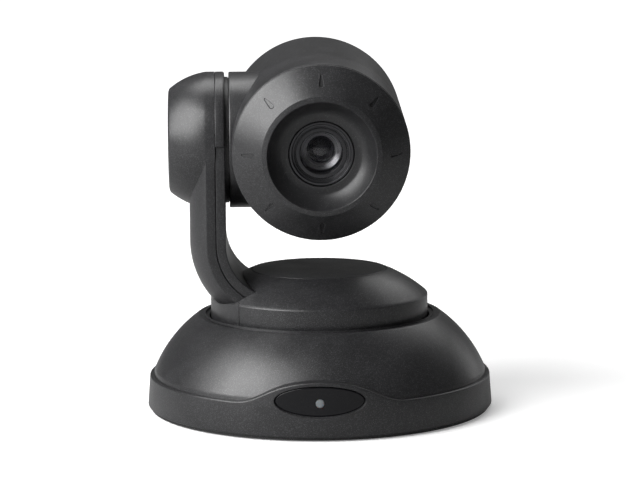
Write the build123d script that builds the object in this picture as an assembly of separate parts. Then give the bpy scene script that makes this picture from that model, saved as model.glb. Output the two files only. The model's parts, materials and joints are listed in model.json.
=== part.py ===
from build123d import *
import math
import os

# Conferencing camera with a round base, a turntable with one side arm, and a round head that tilts on the arm.
# Millimetres, +Z up. The origin is the middle of the base, on the surface it stands on. The lens faces -Y
# and the arm stands at -X. The head's own pieces are laid out level, about the tilt axis, and are then
# lowered by the head's droop. The turntable and all it carries are laid out facing -Y, and are then turned
# a little, as the camera stands at rest.

# Base
base_radius = 80.0            # band at its top edge
band_flare = 1.0              # the band widens by this much towards its foot
band_top = 16.6
band_foot = 2.0
band_inner = 78.0
plate_low = 0.5               # underside of the base plate, above the table
plate_top = 3.0
wall = 2.2                    # moulded covers of the base, turntable, arm and hub
dome_centre = (22.46, -4.71)  # centre of the dome's arc, as radius and height
dome_arc = 59.97
dome_shoulder = 56.8
dome_skirt = 77.9
opening_radius = 51.5         # hole that the turntable stands in
opening_top = 43.8

# Raised front of the band, with the window
wave_height = 26.7
wave_reach = 40.0
window_half_width = 20.0
window_half_height = 6.65
window_middle = 18.05
light_height = 17.2
light_radius = 2.1

# Connector bay at the back
bay_half_width = 36.0
bay_low = 4.5
bay_high = 24.5
bay_back = 60.0
bay_wall = 2.0

# Boards and fixings in the base
board_low = 5.5
board_thick = 1.6
foot_ring = 62.0
foot_radius = 7.0
foot_seat = 1.3
screw_ring = 66.0
frame_posts = ((45.0, 26.0), (-45.0, 26.0), (-45.0, -26.0), (45.0, -26.0))

# Pan drive
shaft_radius = 9.0
shaft_bore = 6.0
running = 0.05                # radial clearance of a shaft in its bearing
pan_gear_teeth = 72
pan_pinion_teeth = 18
pan_module = 0.8
pan_pinion_angle = -45.0
pan_gear_low = 36.0
pan_gear_high = 40.0
frame_low = 28.0
frame_high = 31.0

# Turntable
rim_radius = 50.9
rim_low = 42.8
rim_high = 53.5
cone_centre = (8.58, 5.10)    # centre of the cone's slight arc, as radius and height
cone_arc = 64.46
disc_radius = 31.5
disc_top = 65.4
disc_thick = 2.0

# Arm: a strap that runs straight down from the tilt axis, then round an arc into the turntable
tilt_height = 126.4
bend_x = -19.1
bend_z = 81.0
strap_outer = 41.0            # radii about the bend
strap_edge = 33.2
strap_split = 28.9
strap_inner = 24.3
strap_half = 31.0             # half width along Y
strap_flat = 12.0             # half width of the flat part of its outer face
strap_swing = 80.0            # degrees
foot_half = 33.9              # half width of the arm's foot in the turntable's rim
foot_edge = -38.0

# Hub round the tilt axis
hub_radius = 31.7
hub_face = -69.4
hub_round_start = -52.0
hub_arc = 33.74
hub_arc_x = -47.1
hub_arc_r = -1.66
flange_radius = 29.3
flange_face = -41.8

# Tilt drive
tilt_gear_teeth = 54
tilt_pinion_teeth = 18
tilt_module = 0.45
tilt_gear_left = -55.6
tilt_gear_right = -52.6
tilt_shaft_radius = 6.0
tilt_shaft_bore = 4.0

# Head
droop = 3.36                  # degrees nose down, as the camera stands at rest
glance = 1.9                  # degrees that the turntable is turned towards +X at rest
optic_rise = 0.8              # the lens axis lies this much above the tilt axis
can_front = -43.1
can_front_radius = 40.3
can_rear = 40.0
can_rear_radius = 41.6
can_wall = 2.0
boss_radius = 31.6
boss_face = -41.5
bezel_edge = 40.0
bezel_back = -43.1
lip_radius = 24.5
lip_front = -54.5
lip_band = 27.1
mark_count = 8
mark_ring = 33.6
mark_length = 6.0
funnel_radius = 18.0
funnel_floor = -46.8
barrel_radius = 14.7
barrel_front = -46.0
rear_end = 54.4

# Camera block inside the head
block_half = 17.0
block_front = -24.0
block_rear = 20.0
block_wall = 1.6
carriage_half = 14.6
rod_offset = 12.0
rod_radius = 1.0
lead_radius = 1.25
zoom_place = (-15.0, -10.0)
focus_place = (6.0, 10.0)


def upright(radius, low, high, x=0.0, y=0.0):
    """Round bar standing on end."""
    return Pos(x, y, (low + high) / 2) * Cylinder(radius, high - low)


def crosswise(radius, left, right, y=0.0, z=0.0):
    """Round bar lying along X."""
    return Pos((left + right) / 2, y, z) * Rot(0, 90, 0) * Cylinder(radius, right - left)


def lengthwise(radius, front, rear, x=0.0, z=0.0):
    """Round bar lying along Y."""
    return Pos(x, (front + rear) / 2, z) * Rot(90, 0, 0) * Cylinder(radius, rear - front)


def tube(outer, inner, low, high, x=0.0, y=0.0):
    """Ring standing flat."""
    return upright(outer, low, high, x, y) - upright(inner, low - 1, high + 1, x, y)


def block(x_range, y_range, z_range):
    """Box between three pairs of limits."""
    sizes = [limits[1] - limits[0] for limits in (x_range, y_range, z_range)]
    middle = [(limits[0] + limits[1]) / 2 for limits in (x_range, y_range, z_range)]
    return Pos(*middle) * Box(*sizes)


def outline_face(lines):
    """Flat face inside a closed chain of lines and arcs."""
    return make_face([edge for line in lines for edge in line.edges()])


def lathe(lines):
    """Solid turned about Z from a closed outline of lines and arcs in radius and height."""
    return revolve(Plane.XZ * outline_face(lines), Axis.Z)


def lathe_points(points):
    """Solid turned about Z from the corners of its outline."""
    return revolve(Plane.XZ * make_face(Polyline(*points, close=True)), Axis.Z)


def along_lens(solid):
    """Turns a solid made about Z, its height standing for Y, onto the level lens axis."""
    return Pos(0, 0, optic_rise) * Rot(-90, 0, 0) * solid


def along_tilt(solid):
    """Turns a solid made about Z, its height standing for X, onto the tilt axis at the origin."""
    return Rot(0, 90, 0) * solid


def arc_height(centre, radius, at):
    """Height of an arc above a given distance from the axis."""
    return centre[1] + math.sqrt(radius ** 2 - (at - centre[0]) ** 2)


def cap_arc(rim, height, bulge):
    """Arc from a rim to the pole of a spherical cap; the cap rises by bulge, which may be negative."""
    radius = (rim ** 2 + bulge ** 2) / (2 * bulge)
    half_angle = 0.5 * math.asin(rim / radius)
    middle = (radius * math.sin(half_angle), height + bulge - radius + radius * math.cos(half_angle))
    return ThreePointArc((rim, height), middle, (0, height + bulge))


def arc_between(centre, radius, start, end):
    """Arc of a named circle between two distances from the axis."""
    middle = (start + end) / 2
    places = [(at, arc_height(centre, radius, at)) for at in (start, middle, end)]
    return ThreePointArc(*places)


def ring_places(count, radius, first_angle):
    """Evenly spaced places on a circle."""
    angles = [math.radians(first_angle + 360 * i / count) for i in range(count)]
    return [(radius * math.cos(a), radius * math.sin(a)) for a in angles]


def gear(teeth, module, width):
    """Spur gear about Z with a tooth centred on +X, its flanks slightly thinned for backlash."""
    pressure = math.radians(20)
    pitch = teeth * module / 2
    base = pitch * math.cos(pressure)
    tip = pitch + 0.95 * module
    root = pitch - 1.25 * module
    thinning = 0.08 * module
    half_angle = (math.pi * module / 2 - thinning) / (2 * pitch) + math.tan(pressure) - pressure
    start = max(base, root)
    steps = 4
    flank = [(root, half_angle)]
    for i in range(steps + 1):
        radius = start + (tip - start) * i / steps
        roll = math.acos(base / radius)
        flank.append((radius, half_angle - math.tan(roll) + roll))
    tooth = [(radius, -angle) for radius, angle in flank] + flank[::-1]
    points = []
    for i in range(teeth):
        middle = 2 * math.pi * i / teeth
        for radius, angle in tooth:
            points.append((radius * math.cos(middle + angle), radius * math.sin(middle + angle)))
    return extrude(make_face(Polyline(*points, close=True)), width)


# ---- base ----

def base_envelope():
    """The base's outside as one solid, band and dome together."""
    dome_height = arc_height(dome_centre, dome_arc, dome_shoulder)
    dome_foot = arc_height(dome_centre, dome_arc, dome_skirt)
    return lathe([
        Polyline((0, 0.5), (base_radius, 0.5), (base_radius, band_top), (dome_skirt, band_top)),
        Line((dome_skirt, band_top), (dome_skirt, dome_foot)),
        arc_between(dome_centre, dome_arc, dome_skirt, dome_shoulder),
        Polyline((dome_shoulder, dome_height), (opening_radius, opening_top), (0, opening_top), (0, 0.5)),
    ])


def bay_space(clearance):
    """The room that the connector bay takes out of the base."""
    half = bay_half_width + clearance
    return block((-half, half), (bay_back - clearance, 90), (bay_low - clearance, bay_high + clearance))


def dome_inside():
    """The hollow of the dome below its inner surface."""
    inner = dome_arc - wall
    low = arc_height(dome_centre, inner, dome_skirt - wall)
    top = opening_top - wall + 0.4
    top_radius = dome_centre[0] + math.sqrt(inner ** 2 - (top - dome_centre[1]) ** 2)
    return lathe([
        Polyline((0, 0), (dome_skirt - wall, 0), (dome_skirt - wall, low)),
        arc_between(dome_centre, inner, dome_skirt - wall, top_radius),
        Polyline((top_radius, top), (0, top), (0, 0)),
    ])


def make_dome():
    """Main cover of the base, with its collar round the turntable and the bosses for the base screws."""
    collar_wall = 2.0
    collar_low = 38.0
    boss_outer = 3.6
    boss_bore = 1.4
    outside = base_envelope() & upright(dome_skirt, 8.0, 60)
    shell = outside - dome_inside() - upright(opening_radius, 30, 60)
    shell += tube(opening_radius + collar_wall, opening_radius, collar_low, opening_top - 1)
    for x, y in ring_places(4, screw_ring, 45):
        post = upright(boss_outer, plate_top, opening_top, x, y) & base_envelope()
        shell += post & upright(dome_skirt, 0, 60)
        shell -= upright(boss_bore, 0, 16, x, y)
    shell -= bay_space(0.1)
    shell -= block((-17, 17), (-90, -60), (9.5, 22.5))
    return shell


def wave_outline():
    """Front view of the raised part of the band."""
    right = ((9.0, 26.1), (18.0, 24.0), (26.5, 20.2), (33.0, 17.5))
    left = [(-x, z) for x, z in right[::-1]]
    crest = Spline(
        (-wave_reach, band_top), *left, (0, wave_height), *right, (wave_reach, band_top),
        tangents=((1, 0), (1, 0)),
    )
    under = Polyline((wave_reach, band_top), (wave_reach, 10), (-wave_reach, 10), (-wave_reach, band_top))
    return outline_face([crest, under])


def oval_bar(half_width, half_height):
    """Bar of oval section through the front of the base."""
    oval = Plane.XZ * Pos(0, window_middle) * Ellipse(half_width, half_height)
    return extrude(oval, 90, dir=(0, -1, 0)) - block((-50, 50), (-60, 10), (0, 60))


def make_skirt():
    """Band round the foot of the base, with the raised front that frames the window."""
    flare_height = band_foot + 0.7
    band = lathe_points([
        (band_inner, band_foot), (base_radius + band_flare - 0.6, band_foot),
        (base_radius + band_flare, flare_height), (base_radius, band_top - 0.4),
        (base_radius - 0.3, band_top), (band_inner, band_top),
    ])
    crest = extrude(Plane.XZ * wave_outline(), 90, dir=(0, -1, 0))
    raised = crest & (upright(base_radius, 10, 40) - dome_outside())
    skirt = band + raised
    skirt -= oval_bar(window_half_width + 0.05, window_half_height + 0.05)
    skirt -= bay_space(0.1)
    return skirt


def dome_outside():
    """The dome's outer surface as a solid that runs straight down to the table."""
    dome_height = arc_height(dome_centre, dome_arc, dome_shoulder)
    dome_foot = arc_height(dome_centre, dome_arc, dome_skirt)
    return lathe([
        Polyline((0, 0), (dome_skirt + 0.05, 0), (dome_skirt + 0.05, dome_foot), (dome_skirt, dome_foot)),
        arc_between(dome_centre, dome_arc, dome_skirt, dome_shoulder),
        Polyline((dome_shoulder, dome_height), (0, dome_height), (0, 0)),
    ])


def make_base_plate():
    """Bottom plate, with the recesses for the feet, the screw holes and the pillars under the main board."""
    plate = upright(base_radius - 0.4, plate_low, band_foot) + upright(band_inner - 0.1, band_foot, plate_top)
    for x, y in board_pillars():
        plate += upright(3.0, plate_top, board_low, x, y)
    for x, y in ring_places(4, foot_ring, 0):
        plate -= upright(foot_radius, plate_low - 1, foot_seat, x, y)
    for x, y in ring_places(4, screw_ring, 45):
        plate -= upright(3.0, plate_low - 1, 2.0, x, y)
        plate -= upright(1.5, 0, 5, x, y)
    plate -= upright(9.0, 0, 5)
    return plate


def board_pillars():
    """Places of the four pillars under the main board."""
    return ((30.0, 34.0), (-30.0, 34.0), (-28.0, -46.0), (28.0, -46.0))


def make_tripod_insert():
    """Flanged steel insert with a blind quarter-inch tapped hole."""
    insert = upright(9.0, plate_low, 12.0) + upright(14.0, plate_top, 5.0)
    insert -= upright(2.55, plate_low - 1, 10.5)
    return insert


def make_feet():
    """Four rubber pads."""
    pads = [upright(foot_radius, 0, foot_seat, x, y) for x, y in ring_places(4, foot_ring, 0)]
    return Compound(children=pads)


def pan_head_screw(head_radius, head_high, shank_radius, length):
    """Screw about Z, head down, with a cross recess in its head."""
    screw = upright(head_radius, 0, head_high) + upright(shank_radius, head_high, length)
    for turn in (0, 90):
        screw -= Rot(0, 0, turn) * block((-head_radius * 0.6, head_radius * 0.6), (-0.35, 0.35), (-1, 0.8))
    return screw


def make_base_screws():
    """Four screws that hold the base plate to the dome."""
    places = ring_places(4, screw_ring, 45)
    screw = pan_head_screw(2.7, 1.3, 1.4, 11.0)
    return Compound(children=[Pos(x, y, 0.7) * screw for x, y in places])


def make_window():
    """Dark oval window, curved with the band."""
    shell = upright(base_radius - 0.1, 5, 30) - upright(band_inner, 0, 40)
    window = oval_bar(window_half_width, window_half_height) & shell
    return window - lengthwise(light_radius, -90, -60, 0, light_height)


def make_status_light():
    """Small round light set in the window."""
    light = lengthwise(light_radius - 0.1, -79.8, -72.0, 0, light_height)
    return chamfer(light.edges().group_by(Axis.Y)[0], 0.4)


def make_front_board():
    """Small upright board behind the window."""
    return block((-16, 16), (-72.0, -70.4), (plate_top, 22.0))


def make_ir_receiver():
    """Remote control receivers beside the light."""
    eyes = []
    for x in (-9.0, 9.0):
        body = block((x - 3.5, x + 3.5), (-74.5, -72.0), (14.0, 21.0))
        lens = Pos(x, -74.5, 17.5) * Sphere(2.0)
        eyes.append(body + (lens & block((x - 3, x + 3), (-78, -72.5), (10, 25))))
    return Compound(children=eyes)


def make_bay():
    """Connector bay: a back wall and a frame round it, flush with the base's outside."""
    half = bay_half_width
    tray = block((-half, half), (bay_back, 90), (bay_low, bay_high))
    tray -= block(
        (-half + bay_wall, half - bay_wall), (bay_back + bay_wall, 95), (bay_low + bay_wall, bay_high - bay_wall),
    )
    tray &= base_envelope()
    for name, (x, width, low, high) in port_places().items():
        tray -= block((x - width / 2, x + width / 2), (50, 70), (low, high))
    return tray


def port_places():
    """Middle, width, foot and top of each connector's body where it passes the bay's back wall."""
    foot = board_low + board_thick
    return {
        "power_jack": (-27.0, 9.0, foot, foot + 11.0),
        "usb_port": (-12.0, 12.0, foot, foot + 10.9),
        "network_port": (6.0, 16.0, foot, foot + 13.4),
        "control_port": (24.0, 16.0, foot, foot + 13.4),
    }


def connector_body(name, front):
    """Plain body of a connector on the main board."""
    x, width, low, high = port_places()[name]
    return block((x - width / 2, x + width / 2), (front, bay_back + bay_wall + 0.6), (low, high))


def make_power_jack():
    """Round power inlet with a centre pin."""
    x, width, low, high = port_places()["power_jack"]
    middle = low + 5.5
    jack = connector_body("power_jack", 49.0)
    jack -= lengthwise(3.2, 53.5, 70, x, middle)
    return jack + lengthwise(1.0, 53.0, 61.5, x, middle)


def make_usb_port():
    """Square serial bus socket with its tongue."""
    x, width, low, high = port_places()["usb_port"]
    middle = (low + high) / 2
    port = connector_body("usb_port", 46.0)
    port -= block((x - 4.25, x + 4.25), (52.0, 70), (middle - 3.9, middle + 3.9))
    return port + block((x - 2.8, x + 2.8), (51.0, 61.0), (middle - 1.6, middle + 1.6))


def make_modular_port(name):
    """Eight-way modular socket with its latch slot."""
    x, width, low, high = port_places()[name]
    port = connector_body(name, 45.0)
    port -= block((x - 5.9, x + 5.9), (49.5, 70), (low + 2.2, low + 9.2))
    port -= block((x - 3.0, x + 3.0), (49.5, 70), (low + 9.1, low + 11.6))
    return port


def make_main_board():
    """Main board on its pillars, cut away round the tripod insert and the frame's posts."""
    top = board_low + board_thick
    board = upright(60.0, board_low, top) + block((-34, 34), (0, bay_back - 0.4), (board_low, top))
    board -= upright(16.0, 0, 20)
    board -= block((-18, 18), (-70, -54), (0, 20))
    for x, y in frame_posts:
        board -= upright(4.2, 0, 20, x, y)
    for x, y in ring_places(4, screw_ring, 45):
        board -= upright(5.0, 0, 20, x, y)
    return board


def make_heat_sink():
    """Finned heat sink on the main processor."""
    top = board_low + board_thick
    sink = block((-38, -14), (-4, 20), (top, top + 2.5))
    for i in range(7):
        left = -38 + i * 3.75
        sink += block((left, left + 1.5), (-4, 20), (top + 2, top + 12))
    return sink


def pan_pinion_place():
    """Where the pan motor's axis stands."""
    distance = (pan_gear_teeth + pan_pinion_teeth) * pan_module / 2 + 0.03
    angle = math.radians(pan_pinion_angle)
    return distance * math.cos(angle), distance * math.sin(angle)


def make_pan_frame():
    """Cast frame that carries the pan bearing and motor on four posts."""
    x, y = pan_pinion_place()
    frame = upright(54.0, frame_low, frame_high) + upright(20.0, 24.0, 34.0)
    for post_x, post_y in frame_posts:
        frame += upright(3.6, plate_top, frame_low, post_x, post_y)
    frame -= upright(16.0, 20, 40)
    frame -= upright(9.5, 20, 40, x, y)
    for hole_x, hole_y in ring_places(3, 38.0, 90):
        if hole_y > 0:
            frame -= upright(9.0, 20, 40, hole_x, hole_y)
    return frame


def make_pan_bearing():
    """Bearing of the pan shaft, with its ball groove between the two races."""
    bearing = tube(16.0, shaft_radius + running, 24.0, 34.0)
    groove = tube(13.4, 11.6, 33.2, 35.0)
    return bearing - groove - tube(13.4, 11.6, 23.0, 24.8)


def make_pan_motor():
    """Stepper motor hung under the frame."""
    x, y = pan_pinion_place()
    motor = upright(13.0, 8.6, 26.4, x, y) + upright(15.4, 26.4, frame_low, x, y)
    motor += upright(9.4, frame_low, 29.6, x, y)
    return motor - upright(1.5 + running, 18, 40, x, y)


def make_pan_pinion():
    """Pan motor's pinion on its shaft."""
    x, y = pan_pinion_place()
    turn = pan_pinion_angle + 180 - 180 / pan_pinion_teeth
    pinion = Pos(x, y, pan_gear_low - 0.4) * Rot(0, 0, turn) * gear(pan_pinion_teeth, pan_module, 4.8)
    return pinion + upright(1.5, 20.0, 41.5, x, y)


# ---- turntable ----

def make_pan_shaft():
    """Hollow shaft of the turntable with its flange; the cables rise through it."""
    return tube(shaft_radius, shaft_bore, 14.0, 42.5) + tube(20.0, shaft_bore, 42.5, 44.5)


def make_pan_gear():
    """Large gear on the pan shaft."""
    wheel = Rot(0, 0, pan_pinion_angle) * gear(pan_gear_teeth, pan_module, pan_gear_high - pan_gear_low)
    wheel = Pos(0, 0, pan_gear_low) * wheel
    wheel += upright(13.0, pan_gear_high, 42.5)
    for x, y in ring_places(6, 20.0, 0):
        wheel -= upright(4.0, 30, 45, x, y)
    return wheel - upright(shaft_radius, 30, 50)


def make_turntable_plate():
    """Steel plate that the turntable's cover and the arm's frame stand on."""
    plate = tube(48.0, shaft_bore, 44.5, 47.0)
    for x, y in ring_places(5, 34.0, 0):
        plate -= upright(6.0, 40, 50, x, y)
    return plate


def turntable_outside():
    """The turntable's outside as one solid."""
    low_arc = arc_height(cone_centre, cone_arc, rim_radius - 0.5)
    top_arc = arc_height(cone_centre, cone_arc, disc_radius + 0.1)
    return lathe([
        Polyline((0, rim_low), (rim_radius, rim_low), (rim_radius, rim_high)),
        Line((rim_radius, rim_high), (rim_radius - 0.5, low_arc)),
        arc_between(cone_centre, cone_arc, rim_radius - 0.5, disc_radius + 0.1),
        Polyline((disc_radius + 0.1, top_arc), (0, top_arc), (0, rim_low)),
    ])


def turntable_inside():
    """The hollow under the turntable's cover."""
    inner = cone_arc - wall
    rim_inner = rim_radius - wall
    ledge_radius = disc_radius + 1.5
    low_arc = arc_height(cone_centre, inner, rim_inner)
    ledge = disc_top - 2 * disc_thick
    return lathe([
        Polyline((0, rim_low - 5), (rim_inner, rim_low - 5), (rim_inner, low_arc)),
        arc_between(cone_centre, inner, rim_inner, ledge_radius),
        Line((ledge_radius, arc_height(cone_centre, inner, ledge_radius)), (ledge_radius, ledge)),
        Polyline((ledge_radius, ledge), (0, ledge), (0, rim_low - 5)),
    ])


def arm_foot_room(clearance):
    """The part of the turntable's cover that belongs to the arm's foot."""
    half = foot_half + clearance
    return block((-60, foot_edge + clearance), (-half, half), (rim_low - 5, 62))


def strap(outline_edges):
    """Sweeps a section, given as radius about the bend and Y, down the straight and round the bend."""
    straight_up = Plane(origin=(bend_x, 0, bend_z), x_dir=(-1, 0, 0), z_dir=(0, 0, 1))
    section = straight_up * outline_face(outline_edges)
    upper = extrude(section, tilt_height - bend_z, dir=(0, 0, 1))
    turning = Axis((bend_x, 0, bend_z), (0, -1, 0))
    lower = revolve(section, turning, revolution_arc=strap_swing)
    return upper + lower


def strap_section(inset, near):
    """Closed section of the strap's outside, drawn in by an inset, down to a nearest radius."""
    half = strap_half - inset
    far = strap_outer - inset
    round_radius = corner_radius() - inset
    middle_radius = strap_outer - corner_radius()
    edge = middle_radius + math.sqrt(round_radius ** 2 - (half - strap_flat) ** 2)
    bulge_angle = 0.5 * math.asin((half - strap_flat) / round_radius)
    bulge = (
        middle_radius + round_radius * math.cos(bulge_angle),
        strap_flat + round_radius * math.sin(bulge_angle),
    )
    return [
        Polyline((near, -half), (edge, -half)),
        ThreePointArc((edge, -half), (bulge[0], -bulge[1]), (far, -strap_flat)),
        Line((far, -strap_flat), (far, strap_flat)),
        ThreePointArc((far, strap_flat), bulge, (edge, half)),
        Polyline((edge, half), (near, half), (near, -half)),
    ]


def corner_radius():
    """Radius that rounds the strap's outer face, from its flat to its front and rear edges."""
    drop = strap_outer - strap_edge
    run = strap_half - strap_flat
    return (drop ** 2 + run ** 2) / (2 * drop)


def flat_section(near, far, half):
    """Rectangular section of the strap between two radii about the bend."""
    return [Polyline((near, -half), (far, -half), (far, half), (near, half), (near, -half))]


def hub_solid(inset, right):
    """The hub's outside about the tilt axis, drawn in by an inset, out to its right-hand end."""
    centre = (hub_arc_x, hub_arc_r)
    radius = hub_arc - inset
    face = hub_face + inset
    corner = 0.4
    face_radius = arc_height(centre, radius, face + corner)
    start = arc_height(centre, radius, hub_round_start)
    middle = (hub_round_start + face + corner) / 2
    outline = [
        Polyline((0, right), (start, right), (start, hub_round_start)),
        ThreePointArc(
            (start, hub_round_start), (arc_height(centre, radius, middle), middle), (face_radius, face + corner),
        ),
        Polyline((face_radius, face + corner), (face_radius - corner, face), (0, face), (0, right)),
    ]
    return Pos(0, 0, tilt_height) * along_tilt(lathe(outline))


def split_plane_x():
    """Where the arm's outer shell meets its inner cover."""
    return bend_x - strap_split


def make_arm_outer_shell():
    """Outer half of the arm in one moulding with the hub's housing and the foot in the turntable's rim."""
    strap_outside = strap(strap_section(0, strap_split))
    hollow = strap(strap_section(wall, strap_split - 5)) + hub_solid(wall, split_plane_x() + 1)
    foot = turntable_outside() & (arm_foot_room(0) + strap_outside)
    foot -= turntable_inside() + strap(flat_section(strap_inner, strap_split, strap_half))
    shell = strap_outside + hub_solid(0, split_plane_x()) - turntable_outside() + foot - hollow
    shell &= block((-90, 0), (-60, 60), (rim_low, 200))
    for y, z in arm_screw_places():
        shell -= lengthwise(2.3, strap_half - 1.2, strap_half + 3, -50.6, z)
    return shell


def make_arm_inner_cover():
    """Inner half of the arm, from the tilt axis down into the turntable's cover."""
    cover = strap(flat_section(strap_inner, strap_split, strap_half - 0.1))
    cover -= strap(flat_section(strap_inner + 1.8, strap_split + 1, strap_half - wall))
    cover -= Pos(0, 0, tilt_height) * crosswise(flange_radius + 0.1, -60, -30)
    return cover - turntable_inside()


def make_turntable_cover():
    """Sloping cover of the turntable, cut out round the arm."""
    cover = turntable_outside() - turntable_inside()
    cover -= upright(disc_radius + 0.1, disc_top - disc_thick, 80)
    cover -= upright(disc_radius - 3.5, 50, 80)
    cover -= arm_foot_room(0.1)
    cover -= strap(flat_section(strap_inner - 0.1, strap_outer + 5, strap_half + 0.1))
    return cover.solids().sort_by(SortBy.VOLUME)[-1]


def make_disc():
    """Flat disc let into the top of the turntable."""
    disc = upright(disc_radius, disc_top - disc_thick, disc_top)
    return chamfer(disc.edges().group_by(Axis.Z)[-1], 0.3)


def make_hub_ring():
    """Upper half of the ring between the hub's housing and the head."""
    left = split_plane_x()
    right = bend_x - strap_inner
    ring = lathe_points([
        (flange_radius + 0.1, left), (hub_radius, left), (hub_radius, right - 0.7),
        (hub_radius - 0.7, right), (flange_radius + 0.1, right),
    ])
    ring = Pos(0, 0, tilt_height) * along_tilt(ring)
    return ring & block((-80, 0), (-50, 50), (tilt_height, tilt_height + 60))


def make_hub_flange():
    """Disc that closes the hub beside the head, round the tilt shaft."""
    flange = crosswise(flange_radius, -44.6, flange_face) - crosswise(13.0, -60, -30)
    return Pos(0, 0, tilt_height) * flange


def make_arm_frame():
    """Steel bracket inside the arm, from the turntable's plate up to the tilt bearing."""
    inner = 30.5
    outer = 33.0
    half = 18.0
    left = bend_x - outer
    bracket = strap(flat_section(inner, outer, half))
    bracket &= block((-70, 0), (-50, 50), (51.0, 200))
    bracket += block((-38.0, -28.0), (-half, half), (47.0, 53.5)) - block((-33.0, -20), (-40, 40), (49.5, 60))
    boss = crosswise(22.0, left, bend_x - inner) + crosswise(14.0, left, -45.0)
    bracket += Pos(0, 0, tilt_height) * boss
    return bracket - Pos(0, 0, tilt_height) * crosswise(12.0, -70, -40)


def make_tilt_bearing():
    """Bearing of the tilt shaft."""
    ring = crosswise(12.0, -51.6, -45.2) - crosswise(tilt_shaft_radius + running, -60, -40)
    return Pos(0, 0, tilt_height) * ring


def tilt_pinion_height():
    """Height of the tilt motor's axis, straight below the tilt axis."""
    return tilt_height - (tilt_gear_teeth + tilt_pinion_teeth) * tilt_module / 2 - 0.03


def make_tilt_motor():
    """Flat stepper motor in the hub, on two posts from the arm's frame."""
    z = tilt_pinion_height()
    motor = crosswise(8.0, -63.0, -56.2, 0, z)
    for y in (-6.5, 6.5):
        motor += crosswise(1.5, -57.0, bend_x - 33.0, y, z - 2.2)
    return motor - crosswise(1.0 + running, -61.0, -50, 0, z)


def make_tilt_pinion():
    """Tilt motor's pinion on its shaft."""
    z = tilt_pinion_height()
    turn = 180 - 180 / tilt_pinion_teeth
    wheel = Pos(tilt_gear_left, 0, z) * Rot(0, 90, 0) * Rot(0, 0, turn) * gear(tilt_pinion_teeth, tilt_module, 3.0)
    return wheel + crosswise(1.0, -60.0, tilt_gear_right, 0, z)


def arm_screw_places():
    """Screws in the rear face of the arm."""
    return ((strap_half, 96.0), (strap_half, 118.0))


def make_arm_screws():
    """Two screws in the rear face of the arm."""
    screws = []
    for y, z in arm_screw_places():
        head = lengthwise(2.2, y - 1.2, y - 0.2, -50.6, z)
        for turn in (0, 90):
            slot = Pos(-50.6, y, z) * Rot(0, turn, 0) * Box(2.4, 1.2, 0.5)
            head -= slot
        screws.append(head)
    return Compound(children=screws)


# ---- head, laid out level about the tilt axis ----

def in_place(solid):
    """Moves a level head piece up to the tilt axis and lowers its nose by the droop."""
    return Pos(0, 0, tilt_height) * Rot(droop, 0, 0) * solid


def head_outside():
    """The head's outside: the can and the boss that faces the arm."""
    can = along_lens(lathe_points([
        (0, can_front), (can_front_radius, can_front), (can_rear_radius, can_rear), (0, can_rear),
    ]))
    boss = crosswise(boss_radius, boss_face, -15)
    return can + chamfer(boss.edges().group_by(Axis.X)[0], 0.4)


def head_hollow():
    """The room inside the head's shells."""
    can = along_lens(lathe_points([
        (0, can_front - 5), (can_front_radius - can_wall, can_front - 5),
        (can_rear_radius - can_wall, can_rear + 5), (0, can_rear + 5),
    ]))
    return can + crosswise(boss_radius - can_wall, boss_face + can_wall, -15)


def make_head_shell(upper):
    """Upper or lower half of the head's cover, split at the height of the tilt axis."""
    shell = head_outside() - head_hollow() - crosswise(tilt_shaft_radius + 0.2, -60, -30)
    half = (0, 60) if upper else (-60, 0)
    shell &= block((-60, 60), (-60, 60), half)
    return in_place(shell)


def bezel_slope():
    """Slope angle of the bezel's face and the height of that face above a given radius."""
    run = bezel_edge - lip_band
    rise = (bezel_back - 0.9) - (lip_front + 0.7)
    return math.degrees(math.atan2(rise, run))


def bezel_face(radius):
    """How far forward the bezel's face stands at a radius."""
    share = (bezel_edge - radius) / (bezel_edge - lip_band)
    return (bezel_back - 0.9) + share * ((lip_front + 0.7) - (bezel_back - 0.9))


def mark_cutter():
    """Tapered groove, narrow and shallow at its outer end."""
    outer_width = 0.9
    inner_width = 2.2
    start = mark_ring - mark_length / 2
    end = mark_ring + mark_length / 2
    outline = Polyline(
        (start, -inner_width / 2), (end, -outer_width / 2), (end, outer_width / 2), (start, inner_width / 2),
        close=True,
    )
    bar = extrude(make_face(outline), 4)
    tilted = Pos(mark_ring, 0, 0) * Rot(0, 5.0 - bezel_slope(), 0) * Pos(-mark_ring, 0, -4) * bar
    return Pos(0, 0, bezel_face(mark_ring) + 0.55) * tilted


def make_bezel():
    """Sloping ring at the front of the head, with its lip and eight tapered marks."""
    insert = can_front_radius - can_wall - 0.15
    ring = lathe_points([
        (bezel_edge - 0.4, bezel_back), (bezel_edge, bezel_back - 0.4), (bezel_edge, bezel_back - 0.9),
        (lip_band, lip_front + 0.7), (lip_radius + 0.3, lip_front), (lip_radius, lip_front + 0.2),
        (lip_radius, lip_front + 2.0), (lip_band - 0.7, lip_front + 2.5), (insert - 1.8, bezel_back - 1.3),
        (insert - 1.8, bezel_back + 3.0), (insert, bezel_back + 3.0), (insert, bezel_back),
    ])
    for i in range(mark_count):
        ring -= Rot(0, 0, 360 / mark_count * i) * mark_cutter()
    return in_place(along_lens(ring))


def make_lens_shroud():
    """Dark funnel between the bezel's lip and the lens barrel."""
    bore = barrel_radius + 0.25
    outer = lip_radius - 0.05
    shroud = lathe([
        Polyline((bore, funnel_floor + 2.0), (bore, funnel_floor), (funnel_radius, funnel_floor)),
        ThreePointArc(
            (funnel_radius, funnel_floor), (funnel_radius + 3.9, funnel_floor - 3.0), (outer, lip_front + 0.5),
        ),
        Polyline((outer, lip_front + 0.5), (outer, lip_front + 3.0), (funnel_radius + 1.5, funnel_floor + 2.0)),
        Line((funnel_radius + 1.5, funnel_floor + 2.0), (bore, funnel_floor + 2.0)),
    ])
    return in_place(along_lens(shroud))


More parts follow.
